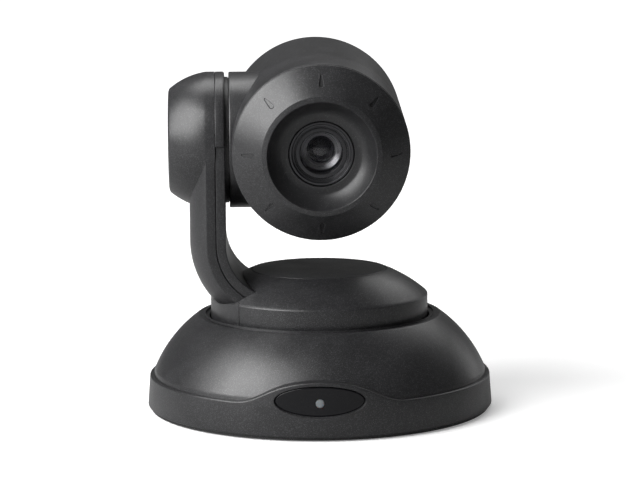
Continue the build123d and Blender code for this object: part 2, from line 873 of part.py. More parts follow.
def make_lens_barrel():
    """Lens barrel with a stepped front."""
    front = barrel_front
    bore = 9.9
    barrel = lathe_points([
        (barrel_radius, -20.0), (barrel_radius, front + 0.5), (barrel_radius - 0.5, front),
        (13.4, front), (13.1, front + 0.9), (12.3, front + 1.1), (12.1, front + 1.9),
        (11.7, front + 1.9), (11.7, front + 5.0), (bore, front + 5.0), (bore, -20.0),
    ])
    return in_place(along_lens(barrel))


def make_retaining_ring():
    """Threaded ring that holds the front glass in the barrel."""
    front = barrel_front
    ring = lathe_points([
        (11.6, front + 2.2), (11.6, front + 5.0), (9.95, front + 5.0), (9.95, front + 3.6),
        (9.4, front + 3.1), (9.8, front + 2.2),
    ])
    return in_place(along_lens(ring))


def make_front_lens():
    """Front glass, convex outwards."""
    edge = barrel_front + 4.2
    glass = lathe([
        Line((0, edge + 4.5), (9.85, edge + 4.5)),
        Line((9.85, edge + 4.5), (9.85, edge)),
        cap_arc(9.85, edge, -2.3),
        Line((0, edge - 2.3), (0, edge + 4.5)),
    ])
    return in_place(along_lens(glass))


def make_lens_housing():
    """Square housing of the zoom lens, behind the barrel."""
    z = optic_rise
    half = block_half
    inner = half - block_wall
    housing = block((-half, half), (block_front, block_rear), (z - half, z + half))
    housing -= block(
        (-inner, inner), (block_front + block_wall, block_rear - block_wall), (z - inner, z + inner),
    )
    housing -= lengthwise(barrel_radius, -40, 0, 0, z)
    housing -= block((-5.5, 5.5), (0, 30), (z - 4.5, z + 4.5))
    for x, offset in lead_screw_places().values():
        housing -= lengthwise(lead_radius + 0.3, 10, 30, x, z + offset)
    return in_place(housing)


def lead_screw_places():
    """Places of the two lead screws beside the lens axis."""
    return {"zoom": (rod_offset, -rod_offset), "focus": (-rod_offset, rod_offset)}


def make_guide_rods():
    """Two rods that the carriages slide on."""
    low = block_front + block_wall
    high = block_rear - block_wall
    rods = []
    for side in (-1, 1):
        x = side * rod_offset
        rods.append(in_place(lengthwise(rod_radius, low, high, x, optic_rise + side * rod_offset)))
    return Compound(children=rods)


def make_carriage(place, drive):
    """Lens carriage with holes for the rods, its own lead screw and the other one."""
    half = carriage_half
    z = optic_rise
    front, rear = place
    carriage = block((-half, half), (front, rear), (z - half, z + half))
    carriage -= lengthwise(7.6, front - 1, rear + 1, 0, z)
    for side in (-1, 1):
        rod_z = z + side * rod_offset
        carriage -= lengthwise(rod_radius + running, front - 1, rear + 1, side * rod_offset, rod_z)
    for name, (x, offset) in lead_screw_places().items():
        hole = lead_radius + (0.08 if name == drive else 0.75)
        carriage -= lengthwise(hole, front - 1, rear + 1, x, z + offset)
    return in_place(carriage)


def make_group_lens(place):
    """Glass held in a carriage."""
    front, rear = place
    glass = lathe([
        Line((0, rear - 0.5), (7.6, rear - 0.5)),
        Line((7.6, rear - 0.5), (7.6, front + 1.2)),
        cap_arc(7.6, front + 1.2, -0.9),
        Line((0, front + 0.3), (0, rear - 0.5)),
    ])
    return in_place(along_lens(glass))


def make_lead_screw(drive):
    """Lead screw of a carriage, with turned grooves at its front end."""
    x, offset = lead_screw_places()[drive]
    z = optic_rise + offset
    screw = lengthwise(lead_radius, block_front + block_wall + 0.2, block_rear + 4.0, x, z)
    return in_place(screw)


def make_lens_motors():
    """Zoom and focus motors on the back of the lens housing."""
    motors = []
    for x, offset in lead_screw_places().values():
        z = optic_rise + offset
        motor = lengthwise(4.8, block_rear, block_rear + 9.0, x, z)
        motor -= lengthwise(lead_radius + running, block_rear - 1, block_rear + 5.0, x, z)
        motors.append(in_place(motor))
    return Compound(children=motors)


def make_image_sensor():
    """Image sensor behind the lens housing's rear opening."""
    z = optic_rise
    return in_place(block((-5.0, 5.0), (block_rear + 0.2, block_rear + 1.8), (z - 4.0, z + 4.0)))


def make_sensor_board():
    """Narrow board that carries the sensor between the two motors."""
    z = optic_rise
    return in_place(block((-6.5, 6.5), (block_rear + 1.8, block_rear + 3.4), (z - 15.0, z + 15.0)))


def make_head_board():
    """Video board across the back of the head."""
    board = along_lens(upright(33.0, 33.0, 34.6))
    chip = block((-9, 9), (34.6, 36.4), (-9, 9))
    return in_place(board + chip)


def make_head_frame():
    """Steel frame of the head: it bolts to the tilt shaft and carries the lens housing and the board."""
    z = optic_rise
    frame = block((-36.0, -34.0), (-18, 18), (z - block_half - 2.0, 16))
    frame += block((-36.0, block_half), (-18, 18), (z - block_half - 2.0, z - block_half))
    frame += block((-26, 26), (16, 18), (z - block_half - 8.0, z - block_half))
    for x in (-23.5, 23.5):
        frame += lengthwise(2.0, 16, 33.0, x, z - block_half - 4.0)
    return in_place(frame - crosswise(tilt_shaft_bore, -40, -30))


def make_tilt_shaft():
    """Hollow tilt shaft with its flange on the head's frame."""
    shaft = crosswise(tilt_shaft_radius, -57.0, -36.0) + crosswise(14.0, -38.0, -36.0)
    return in_place(shaft - crosswise(tilt_shaft_bore, -60, -30))


def make_tilt_gear():
    """Gear on the tilt shaft; a tooth faces the pinion when the head stands at rest."""
    wheel = Pos(tilt_gear_left, 0, 0) * Rot(0, 90, 0) * gear(tilt_gear_teeth, tilt_module, 3.0)
    wheel -= crosswise(tilt_shaft_radius, -70, -40)
    return Pos(0, 0, tilt_height) * wheel


def rear_profile(inset):
    """Outline of the rounded back of the head."""
    radius = can_rear_radius - inset
    end = rear_end - inset
    shoulder = (radius - 6.4, end - 5.4)
    return [
        Line((0, can_rear), (radius, can_rear)),
        Line((radius, can_rear), (radius, can_rear + 2.0)),
        ThreePointArc((radius, can_rear + 2.0), (radius - 1.9, can_rear + 5.8), shoulder),
        cap_arc(shoulder[0], shoulder[1], 5.4),
        Line((0, end), (0, can_rear)),
    ]


def make_rear_cap():
    """Rounded back of the head with a row of vent slots."""
    cap = lathe(rear_profile(0)) - lathe(rear_profile(can_wall))
    inner = can_rear_radius - 2 * can_wall
    cap += tube(can_rear_radius - can_wall - 0.2, inner, can_rear - 3.0, can_rear + 0.5)
    cap += tube(can_rear_radius - 1.0, inner, can_rear, can_rear + 1.0)
    cap = along_lens(cap)
    for i in range(7):
        z = optic_rise - 15.0 + 5.0 * i
        half = math.sqrt(24.0 ** 2 - (z - optic_rise) ** 2)
        cap -= block((-half, half), (44, 60), (z - 1.0, z + 1.0))
    for x, z in rear_screw_places():
        cap -= lengthwise(2.3, 30, 60, x, z)
    return in_place(cap)


def rear_screw_places():
    """Screws round the back of the head."""
    return [(x, z + optic_rise) for x, z in ring_places(4, 31.0, 45)]


def make_rear_screws():
    """Four screws in the back of the head."""
    screws = []
    for x, z in rear_screw_places():
        screw = Pos(x, 49.9, z) * Rot(90, 0, 0) * pan_head_screw(2.3, 2.4, 1.4, 10.0)
        screws.append(in_place(screw))
    return Compound(children=screws)


def base_parts():
    """Nodes that stand still with the base, and the two gears that mesh there."""
    return {
        "base_skirt": make_skirt(),
        "base_dome": make_dome(),
        "base_plate": make_base_plate(),
        "tripod_insert": make_tripod_insert(),
        "rubber_feet": make_feet(),
        "base_screws": make_base_screws(),
        "ir_window": make_window(),
        "status_light": make_status_light(),
        "front_board": make_front_board(),
        "ir_receivers": make_ir_receiver(),
        "connector_bay": make_bay(),
        "power_jack": make_power_jack(),
        "usb_port": make_usb_port(),
        "network_port": make_modular_port("network_port"),
        "control_port": make_modular_port("control_port"),
        "main_board": make_main_board(),
        "heat_sink": make_heat_sink(),
        "pan_frame": make_pan_frame(),
        "pan_bearing": make_pan_bearing(),
        "pan_motor": make_pan_motor(),
        "pan_pinion": make_pan_pinion(),
        "pan_gear": make_pan_gear(),
    }


def turntable_parts():
    """Nodes of the turntable and the arm, facing -Y."""
    return {
        "pan_shaft": make_pan_shaft(),
        "turntable_plate": make_turntable_plate(),
        "turntable_cover": make_turntable_cover(),
        "turntable_disc": make_disc(),
        "arm_outer_shell": make_arm_outer_shell(),
        "arm_inner_cover": make_arm_inner_cover(),
        "hub_ring": make_hub_ring(),
        "hub_flange": make_hub_flange(),
        "arm_frame": make_arm_frame(),
        "arm_screws": make_arm_screws(),
        "tilt_bearing": make_tilt_bearing(),
        "tilt_motor": make_tilt_motor(),
        "tilt_pinion": make_tilt_pinion(),
    }


def head_parts():
    """Nodes of the head, lowered by the droop and facing -Y."""
    return {
        "tilt_shaft": make_tilt_shaft(),
        "tilt_gear": make_tilt_gear(),
        "head_frame": make_head_frame(),
        "head_top_shell": make_head_shell(True),
        "head_bottom_shell": make_head_shell(False),
        "front_bezel": make_bezel(),
        "lens_shroud": make_lens_shroud(),
        "lens_barrel": make_lens_barrel(),
        "retaining_ring": make_retaining_ring(),
        "front_lens": make_front_lens(),
        "lens_housing": make_lens_housing(),
        "guide_rods": make_guide_rods(),
        "zoom_carriage": make_carriage(zoom_place, "zoom"),
        "zoom_lens": make_group_lens(zoom_place),
        "zoom_screw": make_lead_screw("zoom"),
        "focus_carriage": make_carriage(focus_place, "focus"),
        "focus_lens": make_group_lens(focus_place),
        "focus_screw": make_lead_screw("focus"),
        "lens_motors": make_lens_motors(),
        "image_sensor": make_image_sensor(),
        "sensor_board": make_sensor_board(),
        "head_board": make_head_board(),
        "rear_cap": make_rear_cap(),
        "rear_screws": make_rear_screws(),
    }


def at_rest(piece):
    """Turns a piece of the turntable or the head towards +X, as the camera stands at rest."""
    turned = [Rot(0, 0, glance) * solid for solid in piece.solids()]
    return turned[0] if len(turned) == 1 else Compound(children=turned)


os.makedirs("parts", exist_ok=True)
for node, piece in base_parts().items():
    export_step(piece, f"parts/{node}.step")
for node, piece in {**turntable_parts(), **head_parts()}.items():
    export_step(at_rest(piece), f"parts/{node}.step")
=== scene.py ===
"""Pan, tilt and zoom camera: its covers, lens, fittings and finishes, built round the fixed CAD frame."""
import json
import math

import bmesh
import bpy
import numpy as np
from bpy.props import FloatProperty, FloatVectorProperty, IntProperty, PointerProperty
from mathutils import Matrix, Vector


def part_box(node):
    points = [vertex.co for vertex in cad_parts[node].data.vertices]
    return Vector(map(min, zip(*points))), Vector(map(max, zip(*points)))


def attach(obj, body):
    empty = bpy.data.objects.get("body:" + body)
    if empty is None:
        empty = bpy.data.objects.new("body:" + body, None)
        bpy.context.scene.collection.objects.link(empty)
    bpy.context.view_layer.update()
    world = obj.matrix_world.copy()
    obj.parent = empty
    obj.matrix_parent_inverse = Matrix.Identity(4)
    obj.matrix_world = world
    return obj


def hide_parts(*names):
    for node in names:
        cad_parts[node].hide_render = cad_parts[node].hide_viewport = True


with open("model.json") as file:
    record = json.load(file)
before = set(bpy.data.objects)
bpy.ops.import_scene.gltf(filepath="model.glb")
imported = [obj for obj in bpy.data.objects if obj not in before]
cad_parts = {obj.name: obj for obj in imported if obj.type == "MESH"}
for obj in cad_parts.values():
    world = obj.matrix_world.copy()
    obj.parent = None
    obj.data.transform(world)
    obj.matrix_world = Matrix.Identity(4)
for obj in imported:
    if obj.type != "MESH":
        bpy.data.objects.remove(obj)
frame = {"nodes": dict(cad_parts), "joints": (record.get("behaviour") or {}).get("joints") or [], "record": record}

bl_info = {
    "name": "Pan Tilt Zoom Camera",
    "version": (1, 0, 0),
    "blender": (4, 5, 0),
    "location": "3D View > Sidebar > Camera",
    "description": "Builds the covers, lens and finishes of a conferencing camera round its frame",
    "category": "Add Mesh",
}

# Outlines are drawn in millimetres in the frame of their own body, facing -Y, and are put in place at the
# end. An outline that is turned lists radius and height; on the lens axis the height stands for Y.
MM = 0.001
JOINT = {joint["name"]: joint for joint in frame["joints"]}
TILT_HEIGHT = JOINT["tilt"]["pos_m"][2] / MM
GLANCE = math.atan2(-JOINT["tilt"]["axis"][1], -JOINT["tilt"]["axis"][0])
DROOP = math.asin(JOINT["zoom"]["axis"][2])
SLOT_OF = {part["node"]: part["material_slot"] for part in frame["record"]["subparts"]}

SCALE = Matrix.Scale(MM, 4)
ON_BASE = SCALE
ON_TURNTABLE = Matrix.Rotation(GLANCE, 4, "Z") @ SCALE
ON_HUB = ON_TURNTABLE @ Matrix.Translation((0, 0, TILT_HEIGHT)) @ Matrix.Rotation(math.pi / 2, 4, "Y")
ON_HEAD = ON_TURNTABLE @ Matrix.Translation((0, 0, TILT_HEIGHT)) @ Matrix.Rotation(DROOP, 4, "X")
ACROSS_HEAD = Matrix.Rotation(math.pi / 2, 4, "Y")
OPTIC_RISE = 0.8
ALONG_LENS = Matrix.Translation((0, 0, OPTIC_RISE)) @ Matrix.Rotation(-math.pi / 2, 4, "X")
ON_LENS = ON_HEAD @ ALONG_LENS


# ---- sizes and colours ----

def length(label, text, default):
    """A length property, given in millimetres and kept in metres."""
    return FloatProperty(name=label, description=text, default=default * MM, min=0.0, unit="LENGTH")


def colour(label, text, default):
    """A linear colour property."""
    return FloatVectorProperty(name=label, description=text, default=default, size=3, subtype="COLOR",
                               min=0.0, max=1.0)


def share(label, text, default):
    """A number between nought and one."""
    return FloatProperty(name=label, description=text, default=default, min=0.0, max=1.0, subtype="FACTOR")


def number(label, text, default, low, high):
    """How many of something there are."""
    return IntProperty(name=label, description=text, default=default, min=low, max=high)


def watts(label, text, default):
    """The power of a light."""
    return FloatProperty(name=label, description=text, default=default, unit="POWER")


class BaseSizes(bpy.types.PropertyGroup):
    """Sizes of the round base."""
    radius: length("Radius", "Outside of the band at its top edge", 80.0)
    band_top: length("Band top", "Height of the band away from its raised front", 16.6)
    edge: length("Band edge", "Rounding of the band's top edge", 0.8)
    dome_radius: length("Dome radius", "Outside of the dome where it meets the band", 77.9)
    opening: length("Opening", "Radius of the opening that the turntable stands in", 51.5)
    window_width: length("Window half width", "Half the width of the oval window", 20.0)
    window_height: length("Window half height", "Half the height of the oval window", 6.65)


class TurntableSizes(bpy.types.PropertyGroup):
    """Sizes of the turntable, the arm and the hub."""
    rim: length("Rim radius", "Outside of the turntable's rim", 50.9)
    disc: length("Disc radius", "Flat disc let into the top of the turntable", 31.5)
    seam: length("Seam", "Gap between covers that meet", 0.25)
    arm_half: length("Arm half width", "Half the arm's width from front to rear", 31.0)
    hub: length("Hub radius", "Outside of the hub's ring", 31.7)


class HeadSizes(bpy.types.PropertyGroup):
    """Sizes of the head and its lens."""
    front: length("Front radius", "Outside of the head's cover behind the bezel", 40.3)
    rear: length("Rear radius", "Outside of the head's cover at the rear", 41.6)
    boss: length("Boss radius", "Outside of the boss that faces the arm", 31.6)
    bezel: length("Bezel radius", "Outside of the front ring", 40.0)
    lip: length("Lip radius", "Mouth of the funnel", 24.5)
    barrel: length("Barrel radius", "Outside of the lens barrel", 14.7)
    marks: number("Marks", "Tapered marks round the bezel", 8, 0, 24)
    blades: number("Blades", "Blades of the iris", 7, 5, 12)
    slots: number("Vent slots", "Slots in the back of the head", 7, 1, 12)


class Finishes(bpy.types.PropertyGroup):
    """Colours and surface of the main finishes."""
    charcoal: colour("Charcoal", "Moulded covers", (0.0135, 0.0135, 0.0145))
    fleck: colour("Fleck", "Metallic fleck in the covers", (0.07, 0.07, 0.073))
    black: colour("Black", "Lens surround and inner covers", (0.008, 0.008, 0.0085))
    board: colour("Board", "Solder mask of the circuit boards", (0.01, 0.12, 0.05))
    fleck_share: share("Fleck share", "Share of the surface that is fleck", 0.14)
    sheen: share("Roughness", "Roughness of the moulded covers", 0.38)


class StageSettings(bpy.types.PropertyGroup):
    """Floor, lights and camera."""
    floor: colour("Floor", "Colour of the floor", (0.9, 0.9, 0.9))
    key: watts("Key light", "Power of the large upper left light", 43.0)
    fill: watts("Fill light", "Power of the light low behind on the right", 0.7)
    back: watts("Back light", "Power of the light high behind on the right", 2.2)
    top: watts("Top light", "Power of the light overhead", 6.0)
    ambient: FloatProperty(name="Ambient", description="Strength of the even surround", default=0.1, min=0.0)
    lens: FloatProperty(name="Lens", description="Focal length of the view", default=145.5, min=1.0,
                        subtype="DISTANCE_CAMERA")


# ---- outlines ----

def arc(centre, radius, start, end, steps):
    """Points of an arc between two angles in degrees."""
    angles = [math.radians(start + (end - start) * i / steps) for i in range(steps + 1)]
    return [(centre[0] + radius * math.cos(a), centre[1] + radius * math.sin(a)) for a in angles]


def arc_over(centre, radius, start, end, steps=24):
    """Points on the upper half of a circle between two distances from the axis."""
    first = math.degrees(math.acos((start - centre[0]) / radius))
    last = math.degrees(math.acos((end - centre[0]) / radius))
    return arc(centre, radius, first, last, steps)


def cap(rim, height, bulge, steps=14):
    """Points of a spherical cap from its rim to its pole."""
    radius = (rim ** 2 + bulge ** 2) / (2 * abs(bulge))
    half = math.asin(min(1.0, rim / radius))
    side = 1 if bulge > 0 else -1
    middle = height + bulge - side * radius
    angles = [half * (1 - i / steps) for i in range(steps + 1)]
    return [(radius * math.sin(a), middle + side * radius * math.cos(a)) for a in angles]


def rounded(corners, steps=5):
    """Closed outline; a corner given as (a, b, fillet) becomes an arc."""
    made = []
    for i, corner in enumerate(corners):
        here = Vector(corner[:2])
        before = Vector(corners[i - 1][:2]) - here
        after = Vector(corners[(i + 1) % len(corners)][:2]) - here
        if len(corner) < 3 or min(before.length, after.length) < 1e-6:
            made.append(tuple(here))
            continue
        half = before.angle(after) / 2
        reach = min(corner[2] / math.tan(half), 0.49 * before.length, 0.49 * after.length)
        middle = here + (before.normalized() + after.normalized()).normalized() * reach / math.cos(half)
        first = here + before.normalized() * reach - middle
        last = here + after.normalized() * reach - middle
        start = math.atan2(first.y, first.x)
        turn = (math.atan2(last.y, last.x) - start + math.pi) % (2 * math.pi) - math.pi
        made += arc(middle, first.length, math.degrees(start), math.degrees(start + turn), steps)
    return made


# ---- meshes ----

def solid(points, faces):
    """Closed mesh with merged doubles and its faces turned outwards."""
    mesh = bpy.data.meshes.new("solid")
    made = bmesh.new()
    corners = [made.verts.new(point) for point in points]
    for face in faces:
        made.faces.new([corners[i] for i in face])
    bmesh.ops.remove_doubles(made, verts=made.verts, dist=1e-5)
    bmesh.ops.recalc_face_normals(made, faces=made.faces)
    made.to_mesh(mesh)
    made.free()
    return mesh


def turned(outline, segments=180):
    """Closed mesh turned about Z from a closed outline in radius and height."""
    points, faces, rings = [], [], []
    for radius, height in outline:
        count = segments if radius > 1e-6 else 1
        rings.append([len(points) + k for k in range(count)] * (segments // count))
        for k in range(count):
            angle = 2 * math.pi * k / segments
            points.append((radius * math.cos(angle), radius * math.sin(angle), height))
    for i, near in enumerate(rings):
        far = rings[(i + 1) % len(rings)]
        for k in range(segments):
            j = (k + 1) % segments
            corners = list(dict.fromkeys((near[k], near[j], far[j], far[k])))
            if len(corners) > 2:
                faces.append(corners)
    return solid(points, faces)


def loft(rings, closed=False):
    """Mesh through rings of equal length, either joined end to end or capped at both ends."""
    count = len(rings[0])
    points = [point for ring in rings for point in ring]
    spans = len(rings) if closed else len(rings) - 1
    faces = []
    for i in range(spans):
        near, far = i * count, (i + 1) % len(rings) * count
        for k in range(count):
            j = (k + 1) % count
            faces.append((near + k, near + j, far + j, far + k))
    if not closed:
        faces += [tuple(range(count)), tuple(range(len(points) - count, len(points)))]
    return solid(points, faces)


def block(low, high):
    """Box between two corners."""
    rings = [[(low[0], low[1], z), (high[0], low[1], z), (high[0], high[1], z), (low[0], high[1], z)]
             for z in (low[2], high[2])]
    return loft(rings)


def moved(mesh, place):
    """Puts a mesh in its place."""
    mesh.transform(place)
    return mesh


def held(mesh, name="holder"):
    """A passing object that holds a mesh."""
    thing = bpy.data.objects.new(name, mesh)
    bpy.context.scene.collection.objects.link(thing)
    return thing


def evaluated(thing):
    """Plain mesh of an object with its modifiers; the object goes away."""
    bpy.context.view_layer.update()
    graph = bpy.context.evaluated_depsgraph_get()
    mesh = bpy.data.meshes.new_from_object(thing.evaluated_get(graph))
    bpy.data.objects.remove(thing)
    return mesh


def combined(way, first, *others):
    """Boolean of a mesh with others, one after another; way is UNION, DIFFERENCE or INTERSECT."""
    thing = held(first)
    helpers = [held(other) for other in others]
    for helper in helpers:
        step = thing.modifiers.new("combine", "BOOLEAN")
        step.operation = way
        step.solver = "EXACT"
        step.object = helper
    mesh = evaluated(thing)
    for helper in helpers:
        bpy.data.objects.remove(helper)
    if not mesh.polygons:
        raise RuntimeError("a combined shape came out empty")
    return mesh


def piece(name, mesh, place, body, finish, replaces=(), sharp=32):
    """Finished piece in the frame's place, riding on a body, with its finish as its material."""
    mesh.transform(place)
    mesh.materials.clear()
    mesh.materials.append(bpy.data.materials[finish])
    mesh.polygons.foreach_set("material_index", [0] * len(mesh.polygons))
    mesh.shade_smooth()
    mesh.set_sharp_from_angle(angle=math.radians(sharp))
    mesh.name = name
    made = held(mesh, name)
    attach(made, body)
    if replaces:
        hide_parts(*replaces)
    return made


# ---- node trees ----

def add(tree, kind, inputs=None, **settings):
    """New node; an input is given a value or another node's output."""
    made = tree.nodes.new(kind)
    for key, value in settings.items():
        setattr(made, key, value)
    for key, value in (inputs or {}).items():
        if isinstance(value, bpy.types.NodeSocket):
            tree.links.new(value, made.inputs[key])
        else:
            made.inputs[key].default_value = value
    return made


def maths(tree, operation, *values):
    """Math node's result."""
    return add(tree, "ShaderNodeMath", dict(enumerate(values)), operation=operation).outputs[0]


def new_group(kind, name, inputs, outputs):
    """Node group with named sockets, and its inner ends."""
    tree = bpy.data.node_groups.new(name, kind)
    for label, socket, default in inputs:
        made = tree.interface.new_socket(label, in_out="INPUT", socket_type=socket)
        if default is not None:
            made.default_value = default
    for label, socket in outputs:
        tree.interface.new_socket(label, in_out="OUTPUT", socket_type=socket)
    return tree, add(tree, "NodeGroupInput"), add(tree, "NodeGroupOutput")


RING, ROW = "Ring of items", "Row of items"


def repeat_tree(name, extra):
    """Start of a tree that repeats an item and gives it a material."""
    tree, start, end = new_group(
        "GeometryNodeTree", name,
        [("Geometry", "NodeSocketGeometry", None), ("Item", "NodeSocketObject", None),
         ("Material", "NodeSocketMaterial", None), ("Count", "NodeSocketInt", 4), *extra],
        [("Geometry", "NodeSocketGeometry")],
    )
    item = add(tree, "GeometryNodeObjectInfo", {"Object": start.outputs["Item"]})
    count = start.outputs["Count"]
    index = add(tree, "GeometryNodeInputIndex").outputs[0]
    points = add(tree, "GeometryNodePoints", {"Count": count})
    instances = add(tree, "GeometryNodeInstanceOnPoints",
                    {"Points": points.outputs[0], "Instance": item.outputs["Geometry"]})
    real = add(tree, "GeometryNodeRealizeInstances", {0: instances.outputs[0]})
    dressed = add(tree, "GeometryNodeSetMaterial",
                  {"Geometry": real.outputs[0], "Material": start.outputs["Material"]})
    tree.links.new(dressed.outputs[0], end.inputs[0])
    return tree, start, index, points, instances


def ring_tree():
    """Tree that repeats an item evenly round Z at a radius."""
    tree, start, index, points, instances = repeat_tree(
        RING, [("Radius", "NodeSocketFloat", 10.0), ("First angle", "NodeSocketFloat", 0.0)])
    step = maths(tree, "DIVIDE", 2 * math.pi, start.outputs["Count"])
    angle = maths(tree, "MULTIPLY_ADD", index, step, start.outputs["First angle"])
    place = add(tree, "ShaderNodeCombineXYZ", {
        "X": maths(tree, "MULTIPLY", maths(tree, "COSINE", angle), start.outputs["Radius"]),
        "Y": maths(tree, "MULTIPLY", maths(tree, "SINE", angle), start.outputs["Radius"]),
    })
    tree.links.new(place.outputs[0], points.inputs["Position"])
    turn = add(tree, "ShaderNodeCombineXYZ", {"Z": angle})
    tree.links.new(turn.outputs[0], instances.inputs["Rotation"])
    return tree


def row_tree():
    """Tree that repeats an item along Y, each as long as a circle's chord there."""
    tree, start, index, points, instances = repeat_tree(
        ROW, [("Pitch", "NodeSocketFloat", 5.0), ("Circle", "NodeSocketFloat", 1000.0)])
    last = maths(tree, "SUBTRACT", start.outputs["Count"], 1.0)
    from_middle = maths(tree, "SUBTRACT", index, maths(tree, "MULTIPLY", last, 0.5))
    across = maths(tree, "MULTIPLY", from_middle, start.outputs["Pitch"])
    place = add(tree, "ShaderNodeCombineXYZ", {"Y": across})
    tree.links.new(place.outputs[0], points.inputs["Position"])
    part = maths(tree, "DIVIDE", across, start.outputs["Circle"])
    chord = maths(tree, "SQRT", maths(tree, "SUBTRACT", 1.0, maths(tree, "MULTIPLY", part, part)))
    size = add(tree, "ShaderNodeCombineXYZ", {"X": chord, "Y": 1.0, "Z": 1.0})
    tree.links.new(size.outputs[0], instances.inputs["Scale"])
    return tree


def repeated(name, item, finish, **inputs):
    """Plain mesh of an item repeated by a named tree."""
    tree = bpy.data.node_groups[name]
    thing = held(item)
    holder = held(bpy.data.meshes.new("holder"))
    step = holder.modifiers.new("repeat", "NODES")
    step.node_group = tree
    values = {"Item": thing, "Material": bpy.data.materials[finish], **inputs}
    for socket in tree.interface.items_tree:
        if socket.in_out == "INPUT" and socket.name.replace(" ", "_") in values:
            step[socket.identifier] = values[socket.name.replace(" ", "_")]
    mesh = evaluated(holder)
    bpy.data.objects.remove(thing)
    if not mesh.polygons:
        raise RuntimeError("a repeated shape came out empty")
    return mesh


# ---- finishes ----

DUST = (0.34, 0.33, 0.31)
PLATING = (0.62, 0.56, 0.36)


def grain_group():
    """Moulded or cast grain: a height, a fleck mask and a slow mottle."""
    tree, start, end = new_group(
        "ShaderNodeTree", "Moulded grain",
        [("Grain per metre", "NodeSocketFloat", 3000.0), ("Fleck per metre", "NodeSocketFloat", 5200.0),
         ("Fleck share", "NodeSocketFloat", 0.1), ("Mottle per metre", "NodeSocketFloat", 60.0)],
        [("Height", "NodeSocketFloat"), ("Fleck", "NodeSocketFloat"), ("Mottle", "NodeSocketFloat")],
    )
    place = add(tree, "ShaderNodeTexCoord").outputs["Object"]
    grain = add(tree, "ShaderNodeTexNoise", {
        "Vector": place, "Scale": start.outputs["Grain per metre"], "Detail": 2.0, "Roughness": 0.6})
    cells = add(tree, "ShaderNodeTexVoronoi", {"Vector": place, "Scale": start.outputs["Fleck per metre"]})
    lot = add(tree, "ShaderNodeSeparateColor", {0: cells.outputs["Color"]})
    limit = maths(tree, "SUBTRACT", 1.0, start.outputs["Fleck share"])
    chosen = maths(tree, "GREATER_THAN", lot.outputs[0], limit)
    shine = maths(tree, "MULTIPLY_ADD", lot.outputs[1], 0.6, 0.4)
    mottle = add(tree, "ShaderNodeTexNoise", {
        "Vector": place, "Scale": start.outputs["Mottle per metre"], "Detail": 3.0})
    tree.links.new(grain.outputs[0], end.inputs["Height"])
    tree.links.new(maths(tree, "MULTIPLY", chosen, shine), end.inputs["Fleck"])
    tree.links.new(mottle.outputs[0], end.inputs["Mottle"])
    return tree


def wear_group():
    """Rubbed edges and settled dust as masks."""
    tree, start, end = new_group(
        "ShaderNodeTree", "Edge and dust",
        [("Edge width", "NodeSocketFloat", 0.0006), ("Dust", "NodeSocketFloat", 0.1)],
        [("Edge", "NodeSocketFloat"), ("Dust", "NodeSocketFloat")],
    )
    place = add(tree, "ShaderNodeTexCoord").outputs["Object"]
    facing = add(tree, "ShaderNodeNewGeometry").outputs["Normal"]
    soft = add(tree, "ShaderNodeBevel", {"Radius": start.outputs["Edge width"]}, samples=4).outputs[0]
    like = add(tree, "ShaderNodeVectorMath", {0: facing, 1: soft}, operation="DOT_PRODUCT").outputs["Value"]
    edge = add(tree, "ShaderNodeMapRange", {"Value": like, 1: 0.995, 2: 0.90, 3: 0.0, 4: 1.0})
    broken = add(tree, "ShaderNodeTexNoise", {"Vector": place, "Scale": 260.0, "Detail": 4.0}).outputs[0]
    tree.links.new(maths(tree, "MULTIPLY", edge.outputs[0], broken), end.inputs["Edge"])
    up = add(tree, "ShaderNodeSeparateXYZ", {0: facing}).outputs["Z"]
    specks = add(tree, "ShaderNodeTexNoise",
                 {"Vector": place, "Scale": 900.0, "Detail": 5.0, "Roughness": 0.7})
    lying = add(tree, "ShaderNodeMapRange", {"Value": specks.outputs[0], 1: 0.55, 2: 0.8, 3: 0.0, 4: 1.0})
    top = maths(tree, "MAXIMUM", up, 0.0)
    dust = maths(tree, "MULTIPLY", maths(tree, "MULTIPLY", lying.outputs[0], top), start.outputs["Dust"])
    tree.links.new(dust, end.inputs["Dust"])
    return tree


def brushed_group():
    """Fine drawn or turned lines along Z, or round a given axis when the radius is asked for."""
    tree, start, end = new_group(
        "ShaderNodeTree", "Drawn lines",
        [("Vector", "NodeSocketVector", None), ("Lines per metre", "NodeSocketFloat", 4000.0),
         ("Turned", "NodeSocketFloat", 0.0)],
        [("Height", "NodeSocketFloat"), ("Tone", "NodeSocketFloat")],
    )
    parts = add(tree, "ShaderNodeSeparateXYZ", {0: start.outputs["Vector"]})
    x, y, z = parts.outputs
    squares = [maths(tree, "MULTIPLY", side, side) for side in (x, y)]
    radius = maths(tree, "SQRT", maths(tree, "ADD", *squares))
    drawn_out = maths(tree, "MULTIPLY", z, 0.02)
    flat = add(tree, "ShaderNodeCombineXYZ", {"X": x, "Y": y, "Z": drawn_out}).outputs[0]
    round_about = add(tree, "ShaderNodeCombineXYZ", {"X": radius, "Z": z}).outputs[0]
    chosen = add(tree, "ShaderNodeMix", {"Factor": start.outputs["Turned"], 4: flat, 5: round_about},
                 data_type="VECTOR").outputs[1]
    lines = add(tree, "ShaderNodeTexNoise", {
        "Vector": chosen, "Scale": start.outputs["Lines per metre"], "Detail": 3.0, "Roughness": 0.7})
    tone = add(tree, "ShaderNodeTexNoise", {"Vector": chosen, "Scale": 120.0, "Detail": 2.0})
    tree.links.new(lines.outputs[0], end.inputs["Height"])
    tree.links.new(tone.outputs[0], end.inputs["Tone"])
    return tree


